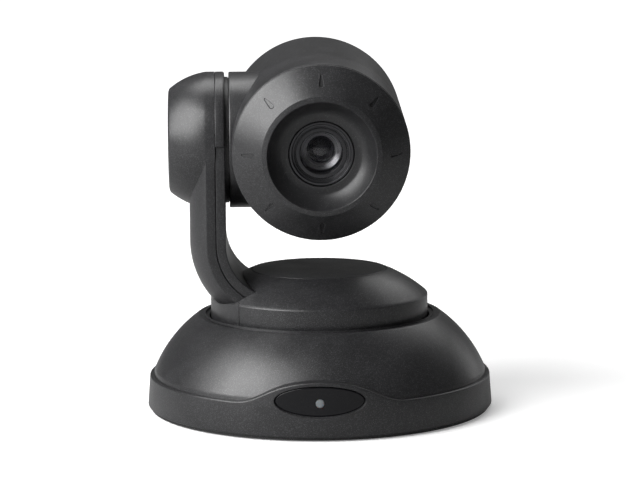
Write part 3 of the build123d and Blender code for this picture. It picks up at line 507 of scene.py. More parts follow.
def group(tree, name, **inputs):
    """Places a shared group with its own values."""
    made = add(tree, "ShaderNodeGroup", node_tree=bpy.data.node_groups[name])
    for key, value in inputs.items():
        label = key.replace("_", " ")
        if isinstance(value, bpy.types.NodeSocket):
            tree.links.new(value, made.inputs[label])
        else:
            made.inputs[label].default_value = value
    return made


def shader(name, rough, **settings):
    """New material with its main shader; settings are plain socket values."""
    plain = bpy.data.materials.get(name)
    if plain:
        plain.name = name + "_plain"
    made = bpy.data.materials.new(name)
    made.use_nodes = True
    tree = made.node_tree
    main = tree.nodes["Principled BSDF"]
    main.inputs["Roughness"].default_value = rough
    for key, value in settings.items():
        main.inputs[key.replace("_", " ")].default_value = value
    return tree, main


def mixed(tree, factor, first, second):
    """Colour between two, by a factor."""
    opaque = [c if isinstance(c, bpy.types.NodeSocket) else (*c, 1.0) for c in (first, second)]
    return add(tree, "ShaderNodeMix", {0: factor, 6: opaque[0], 7: opaque[1]}, data_type="RGBA").outputs[2]


def ranged(tree, value, low, high, start=0.0, end=1.0):
    """Spreads a value from one range over another."""
    return add(tree, "ShaderNodeMapRange", {"Value": value, 1: start, 2: end, 3: low, 4: high}).outputs[0]


def bumped(tree, main, height, depth):
    """Feeds a height in metres to the shader's normal."""
    bump = add(tree, "ShaderNodeBump", {"Height": height, "Distance": depth, "Strength": 1.0})
    tree.links.new(bump.outputs[0], main.inputs["Normal"])


def shade(colour_value, factor):
    """Colour scaled by a factor."""
    return tuple(min(1.0, part * factor) for part in colour_value)


def mottled(tree, value, base, low, high):
    """Colour that wanders between a darker and a lighter shade with a value."""
    return mixed(tree, ranged(tree, value, 0.0, 1.0, 0.3, 0.7), shade(base, low), shade(base, high))


def moulded(name, base, rough, fleck, fleck_share, depth, dust=0.05, grain=2600.0, edge=0.35, **settings):
    """Moulded surface with grain, a fleck, slow mottle, rubbed edges and a little dust."""
    tree, main = shader(name, rough, **settings)
    grained = group(tree, "Moulded grain", Fleck_share=fleck_share, Grain_per_metre=grain)
    worn = group(tree, "Edge and dust", Dust=dust)
    body = mottled(tree, grained.outputs["Mottle"], base, 0.86, 1.14)
    body = mixed(tree, grained.outputs["Fleck"], body, fleck)
    body = mixed(tree, maths(tree, "MULTIPLY", worn.outputs["Edge"], edge), body, shade(base, 3.2))
    body = mixed(tree, worn.outputs["Dust"], body, DUST)
    tree.links.new(body, main.inputs["Base Color"])
    uneven = ranged(tree, grained.outputs["Mottle"], rough - 0.05, rough + 0.05, 0.3, 0.7)
    smoother = maths(tree, "MULTIPLY_ADD", grained.outputs["Fleck"], -0.06, uneven)
    tree.links.new(smoother, main.inputs["Roughness"])
    bumped(tree, main, grained.outputs["Height"], depth)
    return tree, main


def metal(name, base, rough, lines=3500.0, turned_round=None, depth=0.000012, metallic=1.0):
    """Drawn or turned metal."""
    tree, main = shader(name, rough, Metallic=metallic)
    place = add(tree, "ShaderNodeTexCoord").outputs["Object"]
    if turned_round is not None:
        back = turned_round.inverted()
        centred = add(tree, "ShaderNodeMapping", {
            "Vector": place, "Location": back.to_translation() * MM, "Rotation": back.to_euler(),
        }, vector_type="POINT")
        place = centred.outputs[0]
    drawn = group(tree, "Drawn lines", Vector=place, Lines_per_metre=lines,
                  Turned=0.0 if turned_round is None else 1.0)
    worn = group(tree, "Edge and dust", Dust=0.02, Edge_width=0.0003)
    body = mottled(tree, drawn.outputs["Tone"], base, 0.8, 1.15)
    body = mixed(tree, maths(tree, "MULTIPLY", worn.outputs["Edge"], 0.6), body, shade(base, 1.5))
    tree.links.new(body, main.inputs["Base Color"])
    uneven = ranged(tree, drawn.outputs["Height"], rough - 0.08, rough + 0.08, 0.3, 0.7)
    tree.links.new(uneven, main.inputs["Roughness"])
    bumped(tree, main, drawn.outputs["Height"], depth)
    return tree, main


def board_finish(name, base):
    """Circuit board: solder mask over faint tracks, with plated pads."""
    tree, main = shader(name, 0.32, Coat_Weight=0.3, Coat_Roughness=0.15)
    place = add(tree, "ShaderNodeTexCoord").outputs["Object"]
    tracks = add(tree, "ShaderNodeTexVoronoi", {"Vector": place, "Scale": 420.0},
                 distance="MANHATTAN", feature="F1")
    line = ranged(tree, maths(tree, "PINGPONG", tracks.outputs["Distance"], 0.12), 0.0, 1.0, 0.05, 0.07)
    pads = add(tree, "ShaderNodeTexVoronoi", {"Vector": place, "Scale": 300.0, "Randomness": 0.6},
               distance="CHEBYCHEV")
    pad = maths(tree, "LESS_THAN", pads.outputs["Distance"], 0.16)
    body = mixed(tree, line, shade(base, 0.7), shade(base, 1.9))
    tree.links.new(mixed(tree, pad, body, PLATING), main.inputs["Base Color"])
    tree.links.new(maths(tree, "MULTIPLY", pad, 0.9), main.inputs["Metallic"])
    bumped(tree, main, maths(tree, "ADD", line, pad), 0.00003)
    return tree, main


def glass_finish(name, tint, darker, ior, rough, **settings):
    """Glass, dark to look into, with a polish that is barely uneven; rough gives the least and the most."""
    tree, main = shader(name, rough[0], IOR=ior, **settings)
    grained = group(tree, "Moulded grain", Grain_per_metre=900.0, Fleck_per_metre=1500.0, Fleck_share=0.01)
    body = mixed(tree, grained.outputs["Mottle"], shade(tint, darker), tint)
    tree.links.new(body, main.inputs["Base Color"])
    tree.links.new(ranged(tree, grained.outputs["Fleck"], *rough), main.inputs["Roughness"])


def make_finishes(look):
    """All the object's materials."""
    grain_group()
    wear_group()
    brushed_group()
    moulded("charcoal_plastic", look.charcoal, look.sheen, look.fleck, look.fleck_share, 0.000006)
    moulded("matte_black", look.black, 0.5, (0.08, 0.08, 0.085), 0.06, 0.000014, dust=0.02, edge=0.2)
    moulded("funnel_black", (0.014, 0.014, 0.015), 0.4, (0.08, 0.08, 0.08), 0.04, 0.00001,
            dust=0.0, edge=0.2)
    moulded("dark_window", (0.005, 0.005, 0.006), 0.2, (0.02, 0.02, 0.02), 0.01, 0.0000006,
            dust=0.01, edge=0.1, IOR=1.33)
    moulded("light_lens", (0.16, 0.16, 0.165), 0.35, (0.25, 0.25, 0.25), 0.05, 0.000004,
            dust=0.0, Subsurface_Weight=0.2)
    moulded("rubber", (0.012, 0.012, 0.012), 0.75, (0.04, 0.04, 0.04), 0.08, 0.00003,
            dust=0.2, grain=1600.0)
    moulded("gear_plastic", (0.62, 0.6, 0.52), 0.42, (0.7, 0.68, 0.6), 0.05, 0.000006, dust=0.05)
    moulded("chip_black", (0.014, 0.014, 0.015), 0.38, (0.05, 0.05, 0.05), 0.08, 0.000008, dust=0.05)
    metal("black_anodised", (0.045, 0.045, 0.048), 0.24, 5200.0, ON_LENS, 0.000004, metallic=0.7)
    metal("cell_metal", (0.2, 0.2, 0.21), 0.3, 5200.0, ON_LENS, 0.0000004)
    metal("aluminium", (0.62, 0.62, 0.63), 0.36)
    metal("steel", (0.5, 0.5, 0.51), 0.3)
    metal("motor_case", (0.3, 0.3, 0.31), 0.34, 2400.0)
    metal("socket_shell", (0.6, 0.59, 0.57), 0.25, 5000.0)
    metal("gold_contacts", (0.75, 0.55, 0.22), 0.25, 5000.0)
    board_finish("circuit_board", look.board)
    glass_finish("coated_glass", (0.006, 0.006, 0.01), 0.97, 1.7, (0.0, 0.03), Alpha=0.14)
    glass_finish("deep_glass", (0.006, 0.005, 0.009), 0.8, 1.75, (0.07, 0.12))
    floor_finish(tuple(bpy.context.scene.ptz_stage.floor))


def floor_finish(base):
    """Pale floor that glows a little far from the object and throws little light back on it."""
    tree, main = shader("floor_white", 0.8, Emission_Strength=1.0)
    place = add(tree, "ShaderNodeTexCoord").outputs["Object"]
    seen = add(tree, "ShaderNodeLightPath").outputs["Is Camera Ray"]
    tone = add(tree, "ShaderNodeTexNoise", {"Vector": place, "Scale": 6.0}).outputs[0]
    pale = mixed(tree, tone, shade(base, 0.99), base)
    tree.links.new(mixed(tree, seen, shade(base, 0.48), pale), main.inputs["Base Color"])
    distance = add(tree, "ShaderNodeVectorMath", {0: place}, operation="LENGTH").outputs["Value"]
    glow = maths(tree, "MULTIPLY", ranged(tree, distance, 0.25, 1.0, 0.3, 1.6), seen)
    tree.links.new(mixed(tree, glow, (0.0, 0.0, 0.0), (1.0, 1.0, 1.0)), main.inputs["Emission Color"])


# ---- base ----

WALL = 2.2
DOME_CENTRE = (22.46, -4.71)
DOME_ARC = 59.97
DOME_SHOULDER = 56.8
DOME_FOOT = 3.0
OPENING_TOP, COLLAR_LOW = 43.8, 38.0
BAND_FOOT = 2.0
WINDOW_MIDDLE = 18.05
OVAL_POINTS = 96
LIGHT_HEIGHT, LIGHT_HOLE = 17.2, 2.1
BAY_LOW, BAY_HIGH = (-36.1, 59.9, 4.4), (36.1, 95.0, 24.6)


def crest_height(x):
    """Height of the band's raised front at a distance from the middle, on a smooth curve."""
    knots = np.array((-40.0, -33.0, -26.5, -18.0, -9.0, 0.0, 9.0, 18.0, 26.5, 33.0, 40.0))
    half = (16.6, 17.5, 20.2, 24.0, 26.1)
    heights = np.array((*half, 26.7, *half[::-1]))
    if abs(x) >= 40.0:
        return 16.6
    gap = np.diff(knots)
    size = len(knots)
    grid = np.zeros((size, size))
    pull = np.zeros(size)
    grid[0, 0] = grid[-1, -1] = 1.0
    for i in range(1, size - 1):
        grid[i, i - 1], grid[i, i + 1] = 1 / gap[i - 1], 1 / gap[i]
        grid[i, i] = 2 * (1 / gap[i - 1] + 1 / gap[i])
        before = (heights[i] - heights[i - 1]) / gap[i - 1] ** 2
        after = (heights[i + 1] - heights[i]) / gap[i] ** 2
        pull[i] = 3 * (before + after)
    slopes = np.linalg.solve(grid, pull)
    i = min(int(np.searchsorted(knots, x, side="right")) - 1, size - 2)
    t = (x - knots[i]) / gap[i]
    stay = (1 + 2 * t) * (1 - t) ** 2 * heights[i] + t * t * (3 - 2 * t) * heights[i + 1]
    return float(stay + gap[i] * (t * (1 - t) ** 2 * slopes[i] + t * t * (t - 1) * slopes[i + 1]))


def dome_radius_at(height):
    """Outside of the dome at a height."""
    return DOME_CENTRE[0] + math.sqrt(DOME_ARC ** 2 - (height - DOME_CENTRE[1]) ** 2)


def band_section(angle, size):
    """Section of the band at an angle from the front, as radius and height."""
    radius, edge = size.radius / MM, size.edge / MM
    inner = size.dome_radius / MM + 0.1
    turn = math.sin(angle)
    front = math.cos(angle) > 0
    top = crest_height(radius * turn) if front else size.band_top / MM
    back, back_top = inner, top
    for _ in range(6):
        back_top = crest_height(back * turn) if front else top
        back = min(inner, dome_radius_at(back_top) + 0.05)
    corner = arc((radius - edge, top - edge), edge, 0, 90, 6)
    ledge = [(radius - edge + (back - radius + edge) * k / 4, top + (back_top - top) * k / 4)
             for k in (1, 2, 3, 4)]
    foot = min(back_top - 0.02, 17.9)
    drop = []
    for k in range(1, 6):
        height = back_top + (foot - back_top) * k / 5
        drop.append((min(inner, dome_radius_at(height) + 0.05), height))
    flare = arc((radius + 0.4, BAND_FOOT + 0.6), 0.6, -90, 0, 4)
    return [(inner, BAND_FOOT), *flare, *corner, *ledge, *drop]


def oval_ring(size, grow, radius):
    """Ring of an oval on the front of a cylinder."""
    points = []
    for k in range(OVAL_POINTS):
        t = 2 * math.pi * k / OVAL_POINTS
        x = (size.window_width / MM + grow) * math.cos(t)
        z = WINDOW_MIDDLE + (size.window_height / MM + grow) * math.sin(t)
        points.append((x, -math.sqrt(radius ** 2 - x ** 2), z))
    return points


def build_band(size):
    """Band round the foot of the base, with its raised front, the window's hole and the bay's cut."""
    stations = 540
    rings = []
    for k in range(stations):
        angle = 2 * math.pi * k / stations
        section = band_section(angle, size)
        rings.append([(r * math.sin(angle), -r * math.cos(angle), z) for r, z in section])
    band = loft(rings, closed=True)
    radius = size.radius / MM
    flare = ((0.1, -12), (0.1, -0.55), (0.25, -0.15), (0.55, 0.15), (1.2, 1.5), (1.2, 12))
    cutter = loft([oval_ring(size, grow, radius + past) for grow, past in flare])
    band = combined("DIFFERENCE", band, cutter, block(BAY_LOW, BAY_HIGH))
    piece("base_band", band, ON_BASE, "base", "charcoal_plastic", ["base_skirt"])


def build_dome(size):
    """Main cover of the base."""
    skirt = size.dome_radius / MM
    opening = size.opening / MM
    outer = arc_over(DOME_CENTRE, DOME_ARC, skirt, DOME_SHOULDER, 30)
    inner = arc_over(DOME_CENTRE, DOME_ARC - WALL, 52.0, skirt - WALL, 20)
    outline = rounded([
        (skirt, DOME_FOOT), *outer[:-1], (*outer[-1], 1.2), (opening, OPENING_TOP, 0.5),
        (opening, COLLAR_LOW), (opening + 2, COLLAR_LOW), (opening + 2, inner[0][1]), *inner[1:],
        (skirt - WALL, DOME_FOOT),
    ])
    window_gap = block((-17, -90, 9.5), (17, -60, 22.5))
    dome = combined("DIFFERENCE", turned(outline, 240), block(BAY_LOW, BAY_HIGH), window_gap)
    piece("base_cover", dome, ON_BASE, "base", "charcoal_plastic", ["base_dome"])


def build_window(size):
    """Dark oval window with a rounded edge, curved with the band, and the status light in it."""
    radius = size.radius / MM
    rings = [oval_ring(size, -0.05, radius - 2.0), oval_ring(size, -0.05, radius - 0.75)]
    for k in range(1, 5):
        turn = math.radians(90 * k / 4)
        grow = -0.05 - 0.5 * (1 - math.cos(turn))
        rings.append(oval_ring(size, grow, radius - 0.75 + 0.5 * math.sin(turn)))
    piece("window_panel", crowned(size, rings, radius), ON_BASE, "base", "dark_window", ["ir_window"])
    light = turned([(0, -6.0), (2.0, -6.0), (2.0, -0.3), (1.9, -0.1), *cap(1.75, 0.0, 0.18, 6)], 60)
    place = Matrix.Translation((0, -(radius - 0.35), LIGHT_HEIGHT)) @ Matrix.Rotation(math.pi / 2, 4, "X")
    piece("window_light", light, ON_BASE @ place, "base", "light_lens", ["status_light"])


def crowned(size, rings, radius):
    """Joins the oval's rings to the light's round hole, keeping the cylinder's curve."""
    width, height = size.window_width / MM - 0.55, size.window_height / MM - 0.55
    shares = (0.05, 0.15, 0.3, 0.5, 0.7, 0.9, 1.0)

    def ring(part, at):
        made = []
        for k in range(OVAL_POINTS):
            t = 2 * math.pi * k / OVAL_POINTS
            x = ((1 - part) * width + part * LIGHT_HOLE) * math.cos(t)
            oval_z = WINDOW_MIDDLE + height * math.sin(t)
            z = (1 - part) * oval_z + part * (LIGHT_HEIGHT + LIGHT_HOLE * math.sin(t))
            made.append((x, -math.sqrt(at ** 2 - x ** 2), z))
        return made

    faces_front = [ring(part, radius - 0.25) for part in shares]
    faces_back = [ring(part, radius - 2.0) for part in shares[::-1]]
    return loft([*faces_back, *rings, *faces_front], True)


def build_contacts():
    """Plated contacts in the two modular sockets."""
    joined = bmesh.new()
    for node in ("network_port", "control_port"):
        low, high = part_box(node)
        spring = block((0.0, -0.15, 0.0), (4.0, 0.15, 0.3))
        row = repeated(ROW, spring, "gold_contacts", Count=8, Pitch=1.02)
        middle = (low.x + high.x) / 2 / MM
        place = Matrix.Translation((middle, 50.2, low.z / MM + 8.6)) @ Matrix.Rotation(math.pi / 2, 4, "Z")
        joined.from_mesh(moved(row, place))
    mesh = bpy.data.meshes.new("contacts")
    joined.to_mesh(mesh)
    joined.free()
    piece("socket_contacts", mesh, ON_BASE, "base", "gold_contacts")


# ---- turntable, arm and hub ----

CONE_CENTRE = (8.58, 5.10)
CONE_ARC = 64.46
RIM_LOW, RIM_HIGH = 42.8, 53.5
DISC_TOP = 65.4
BEND = (-19.1, 81.0)
ARM_OUTER, ARM_EDGE, ARM_SPLIT, ARM_INNER = 41.0, 33.2, 28.9, 24.3
ARM_FLAT = 12.0
ARM_SWING = 80.0
SLOT_HALF = 31.2
FOOT_HALF, FOOT_EDGE = 33.9, -38.0
HUB_FACE, HUB_ROUND = -69.4, -52.0
FLANGE_FACE, FLANGE_ROOM = -41.8, 29.4
HUB_ARC = (-47.1, -1.66, 33.74)


def turntable_outside(size):
    """Outline of the turntable's cover, outside only."""
    rim = size.rim / MM
    top = size.disc / MM + size.seam / MM
    slope = arc_over(CONE_CENTRE, CONE_ARC, rim - 0.5, top, 24)
    side = rounded_run([(rim, RIM_LOW), (rim, RIM_HIGH), slope[0]], 0.6)
    return [(0, RIM_LOW), *side, *slope[1:], (0, slope[-1][1])]


def rounded_run(points, fillet):
    """Open run of corners, each inner one rounded and the first one eased."""
    first, middle, last = points
    shaped = rounded([
        (first[0] - 5, first[1]), (*first, fillet), (*middle, fillet), last, (last[0] - 5, last[1]),
    ])
    return [p for p in shaped if p[0] > first[0] - 4.9 and p not in (shaped[0], shaped[-1])]


def turntable_inside(size):
    """The hollow under the turntable's cover, as a mesh."""
    inner = CONE_ARC - WALL
    rim = size.rim / MM - WALL
    ledge = size.disc / MM + 1.5
    low = DISC_TOP - 4.0
    slope = arc_over(CONE_CENTRE, inner, rim, ledge, 14)
    return turned([(0, RIM_LOW - 5), (rim, RIM_LOW - 5), *slope, (ledge, low), (0, low)])


def strap(section, top=None, swing=ARM_SWING):
    """Mesh of a section, as radius about the bend and Y, swept down the straight and round the bend."""
    top = TILT_HEIGHT if top is None else top
    rings = [[(BEND[0] - r, y, z) for r, y in section] for z in np.linspace(top, BEND[1], 8)]
    for angle in np.radians(np.linspace(0, swing, 49)[1:]):
        rings.append([(BEND[0] - r * math.cos(angle), y, BEND[1] - r * math.sin(angle))
                      for r, y in section])
    return loft(rings)


def arm_section(size, inset, near):
    """Section of the arm's outside: a flat middle, rounded towards its front and rear edges."""
    half = size.arm_half / MM
    drop, run = ARM_OUTER - ARM_EDGE, half - ARM_FLAT
    corner = (drop ** 2 + run ** 2) / (2 * drop)
    centre = ARM_OUTER - corner
    round_radius = corner - inset
    half -= inset
    sweep = math.asin((half - ARM_FLAT) / round_radius)
    side = [(centre + round_radius * math.cos(turn), ARM_FLAT + round_radius * math.sin(turn))
            for turn in [sweep * k / 14 for k in range(15)]]
    edge = side.pop()
    corners = [(near, -half, 0.35), (edge[0], -half, 0.5), *[(r, -y) for r, y in side[::-1]], *side,
               (edge[0], half, 0.5), (near, half, 0.35)]
    return rounded(corners, 4)


def hub_mesh(inset, right):
    """The hub's round housing about the tilt axis, as a mesh."""
    height, middle, radius = HUB_ARC
    radius -= inset
    face = HUB_FACE + inset

    def out(x):
        return middle + math.sqrt(radius ** 2 - (x - height) ** 2)

    curve = [(out(x), x) for x in np.linspace(HUB_ROUND, face + 0.5, 22)]
    corners = [
        (0, right), (out(HUB_ROUND), right), *curve[:-1], (*curve[-1], 0.8),
        (curve[-1][0] - 1.2, face, 0.9), (0, face),
    ]
    return turned(rounded(corners, 4))


def on_tilt_axis(mesh):
    """Puts a mesh made about Z onto the tilt axis of the turntable's frame."""
    return moved(mesh, Matrix.Translation((0, 0, TILT_HEIGHT)) @ ACROSS_HEAD)


def foot_box(size, gap):
    """The part of the turntable that belongs to the arm's foot."""
    half = FOOT_HALF + gap
    return block((-60, -half, RIM_LOW - 6), (FOOT_EDGE + gap, half, 62.0))


def build_turntable(size):
    """Sloping cover of the turntable, cut out round the arm, and the disc on top."""
    seam = size.seam / MM
    disc = size.disc / MM
    cover = turned(turntable_outside(size), 240)
    well = turned([(0, DISC_TOP - 2.0), (disc + seam, DISC_TOP - 2.0), (disc + seam, 80), (0, 80)])
    hole = turned([(0, 50), (disc - 3.5, 50), (disc - 3.5, 80), (0, 80)])
    near, far, half = ARM_INNER - seam, ARM_OUTER + 5, SLOT_HALF
    slot = strap([(near, -half), (far, -half), (far, half), (near, half)])
    cover = combined("DIFFERENCE", cover, turntable_inside(size), well, hole, foot_box(size, seam), slot)
    piece("turntable_top", cover, ON_TURNTABLE, "turntable", "charcoal_plastic", ["turntable_cover"])
    low, edge = DISC_TOP - 2.0, disc - 0.1
    lid = turned(rounded([(0, low), (edge, low), (edge, DISC_TOP, 0.45), (0, DISC_TOP)]), 240)
    piece("turntable_lid", lid, ON_TURNTABLE, "turntable", "charcoal_plastic", ["turntable_disc"])


def build_arm(size):
    """Arm: the outer shell with the hub's housing and its foot, and the inner cover."""
    seam = size.seam / MM
    half = size.arm_half / MM
    split_x = BEND[0] - ARM_SPLIT
    outside = strap(arm_section(size, 0, ARM_SPLIT))
    hub = on_tilt_axis(hub_mesh(0, split_x))
    shell = combined("UNION", outside, hub)
    foot = combined("INTERSECT", turned(turntable_outside(size), 240), foot_box(size, 0))
    opening = strap([(ARM_INNER, -half), (ARM_SPLIT, -half), (ARM_SPLIT, half), (ARM_INNER, half)])
    foot = combined("DIFFERENCE", foot, turntable_inside(size), opening)
    below = block((-90, -60, 0), (0, 60, RIM_LOW))
    well = turned([(0, RIM_LOW - 3), (50.2, RIM_LOW - 3), (50.2, RIM_HIGH), (40, 61.5), (0, 61.5)])
    shell = combined("DIFFERENCE", shell, well, below)
    shell = combined("UNION", shell, foot)
    hollow = strap(arm_section(size, WALL, ARM_SPLIT - 5))
    shell = combined("DIFFERENCE", shell, hollow, on_tilt_axis(hub_mesh(WALL, split_x + 1)))
    piece("arm_shell", shell, ON_TURNTABLE, "turntable", "charcoal_plastic", ["arm_outer_shell"])

    def flat(near, far, reach, fillet):
        corners = ((near, -reach), (far, -reach), (far, reach), (near, reach))
        return rounded([(*corner, fillet) for corner in corners])

    cover = strap(flat(ARM_INNER, ARM_SPLIT - 0.1, half - 0.15, 0.55), TILT_HEIGHT - seam / 2)
    room = strap(flat(ARM_INNER + 1.8, ARM_SPLIT + 1, half - WALL, 0.3))
    disc = on_tilt_axis(turned([(0, -60), (FLANGE_ROOM, -60), (FLANGE_ROOM, -30), (0, -30)]))
    cover = combined("DIFFERENCE", cover, room, disc, turntable_inside(size))
    piece("arm_cover", cover, ON_TURNTABLE, "turntable", "charcoal_plastic", ["arm_inner_cover"])
    left, right, out = split_x + 0.1, BEND[0] - ARM_INNER, size.hub / MM
    ring = turned(rounded([
        (FLANGE_ROOM, left), (out, left, 0.35), (out, right, 1.0), (FLANGE_ROOM, right, 0.3),
    ]))
    ring = combined("INTERSECT", ring, block((-50, -50, -80), (-seam / 2, 50, 0)))
    piece("hub_collar", ring, ON_HUB, "turntable", "charcoal_plastic", ["hub_ring"])
    near, far = FLANGE_FACE + 0.01, FLANGE_FACE + 0.28
    washer = turned([(12.0, near), (28.8, near), (28.8, far), (12.0, far)])
    piece("hub_washer", washer, ON_HUB, "turntable", "matte_black")


# ---- head ----

CAN_FRONT, CAN_REAR = -43.1, 40.0
BOSS_FACE = -41.5
LIP_FRONT, LIP_BAND = -54.5, 27.1
FUNNEL_FLOOR, BARREL_FRONT = -46.8, -46.0
SCREW_RING = 31.0


def build_shells(size):
    """Upper and lower covers of the head, with the boss that faces the arm."""
    front, rear, boss = size.front / MM, size.rear / MM, size.boss / MM
    wall = 2.0
    can = turned(rounded([
        (0, CAN_FRONT), (front, CAN_FRONT, 0.4), (rear, CAN_REAR, 0.15), (0, CAN_REAR),
    ]), 240)
    stub = turned(rounded([(0, BOSS_FACE), (boss, BOSS_FACE, 0.7), (boss, -15), (0, -15)]))
    stub = moved(stub, ACROSS_HEAD)
    outer = combined("UNION", moved(can, ALONG_LENS), stub)
    room = turned([
        (0, CAN_FRONT - 5), (front - wall, CAN_FRONT - 5), (rear - wall, CAN_REAR + 5), (0, CAN_REAR + 5),
    ])
    start, inside = BOSS_FACE + wall, boss - wall
    side = moved(turned([(0, start), (inside, start), (inside, -15), (0, -15)]), ACROSS_HEAD)
    shaft = moved(turned([(0, -60), (6.2, -60), (6.2, -30), (0, -30)], 48), ACROSS_HEAD)
    shell = combined("DIFFERENCE", outer, moved(room, ALONG_LENS), side, shaft)
    gap = 0.1
    for name, low, high in (("head_cover_top", gap, 60), ("head_cover_bottom", -60, -gap)):
        half = combined("INTERSECT", shell.copy(), block((-60, -60, low), (60, 60, high)))
        node = "head_top_shell" if low > 0 else "head_bottom_shell"
        piece(name, half, ON_HEAD, "head", "charcoal_plastic", [node])


def bezel_face(size, radius):
    """How far forward the bezel's face stands at a radius."""
    outer, back, rise = size.bezel / MM, -44.0, 9.8
    return back + (outer - radius) / (outer - LIP_BAND) * -rise


def mark_mesh(size):
    """Cutter of one tapered mark, deeper and wider at its inner end."""
    start, end = 30.8, 36.0
    rings = []
    for lift, grow in ((-1.5, 0.3), (-0.02, 0.12), (0.95, -0.12)):
        points = []
        for middle, radius, first in ((start + 1.0, 1.1, 90), (end - 0.4, 0.42, -90)):
            for x, y in arc((middle, 0.0), max(0.12, radius + grow), first, first + 180, 8):
                fade = (x - start) / (end - start)
                depth = lift * (1.0 - 0.5 * fade) if lift > 0 else lift
                points.append((x, y, bezel_face(size, x) + depth))
        rings.append(points)
    return loft(rings)


def build_bezel(size):
    """Sloping front ring with its lip and tapered marks."""
    edge, lip = size.bezel / MM, size.lip / MM
    tongue, tongue_end = (36.35, 38.15), CAN_FRONT + 3.0
    outline = rounded([
        (tongue[1], CAN_FRONT), (edge, CAN_FRONT, 0.25), (edge, bezel_face(size, edge), 0.5),
        (LIP_BAND, bezel_face(size, LIP_BAND), 0.7), (lip + 0.25, LIP_FRONT, 0.35),
        (lip, LIP_FRONT + 0.4, 0.2), (lip, LIP_FRONT + 2.0), (26.4, LIP_FRONT + 2.5),
        (tongue[0], -44.4), (tongue[0], tongue_end), (tongue[1], tongue_end),
    ], 6)
    ring = turned(outline, 288)
    marks = repeated(RING, mark_mesh(size), "charcoal_plastic", Count=size.marks, Radius=0.0, First_angle=0.0)
    ring = combined("DIFFERENCE", ring, marks)
    piece("bezel", ring, ON_LENS, "head", "charcoal_plastic", ["front_bezel"])


def build_lens(size):
    """Funnel, stepped barrel, retaining ring, glasses and iris."""
    lip, barrel = size.lip / MM - 0.05, size.barrel / MM
    floor, front = FUNNEL_FLOOR, BARREL_FRONT
    bowl = [
        (18.0, floor), (18.7, -47.15), (19.6, -47.75), (20.7, -48.7), (21.7, -49.8), (22.7, -51.1),
        (23.6, -52.5), (lip, LIP_FRONT + 0.5),
    ]
    funnel = turned([
        (barrel + 0.25, floor + 2), (barrel + 0.25, floor + 0.15), (barrel + 0.4, floor), *bowl,
        (lip, -51.6), (19.5, floor + 2),
    ], 240)
    piece("lens_funnel", funnel, ON_LENS, "head", "funnel_black", ["lens_shroud"])
    outline = rounded([
        (barrel, -20.0), (barrel, front, 0.5), (13.5, front, 0.25), (13.1, front + 0.9, 0.15),
        (12.35, front + 1.0, 0.2), (12.1, front + 1.9, 0.1), (11.7, front + 1.9, 0.15),
        (11.7, front + 5.0), (9.9, front + 5.0), (9.9, -20.0),
    ], 4)
    piece("barrel", turned(outline, 180), ON_LENS, "head", "black_anodised", ["lens_barrel"])
    keeper = turned(rounded([
        (11.6, front + 2.2, 0.2), (11.6, front + 5.0), (9.95, front + 5.0), (9.95, front + 3.6),
        (9.4, front + 3.1, 0.15), (9.8, front + 2.2, 0.2),
    ], 4), 180)
    notch = block((10.1, -0.6, front), (12.5, 0.6, front + 2.8))
    notches = repeated(RING, notch, "black_anodised", Count=2, Radius=0.0, First_angle=0.6)
    keeper = combined("DIFFERENCE", keeper, notches)
    piece("glass_keeper", keeper, ON_LENS, "head", "black_anodised", ["retaining_ring"])
    edge = front + 4.2
    rear, face = cap(9.85, edge + 4.5, -0.6), cap(9.85, edge, -2.3)
    glass = turned([(0, edge + 3.9), *rear[::-1][1:], *face[:-1], (0, edge - 2.3)], 120)
    piece("front_glass", glass, ON_LENS, "head", "coated_glass", ["front_lens"])
    cell = turned(rounded([
        (9.8, -36.2), (9.8, -29.0), (5.2, -29.0), (5.2, -31.6), (6.35, -32.0), (6.4, -35.0, 0.35),
        (7.0, -35.1, 0.3), (9.1, -36.2, 0.2),
    ], 5), 150)
    piece("inner_cell", cell, ON_LENS, "head", "cell_metal", ())
    second = turned([*cap(6.3, -33.6, -1.9), *cap(6.3, -31.9, -0.5)[::-1]], 96)
    piece("second_glass", second, ON_LENS, "head", "deep_glass", ())
    leaf = ((1.9, -2.6), (4.9, -2.9), (5.15, 0.0), (4.9, 2.9), (3.1, 2.2), (2.35, 0.0))
    blade = loft([[(*corner, z) for corner in leaf] for z in (0.0, 0.06)])
    blade = moved(blade, Matrix.Translation((0, 0, -29.6)) @ Matrix.Rotation(math.radians(2.0), 4, "X"))
    iris = repeated(RING, blade, "chip_black", Count=size.blades, Radius=0.0, First_angle=0.2)
    piece("iris_blades", iris, ON_LENS, "head", "chip_black")
    last = turned([*cap(5.0, -27.2, -1.1), (5.0, -25.6), (0, -25.6)], 72)
    piece("rear_glass", last, ON_LENS, "head", "deep_glass", ())


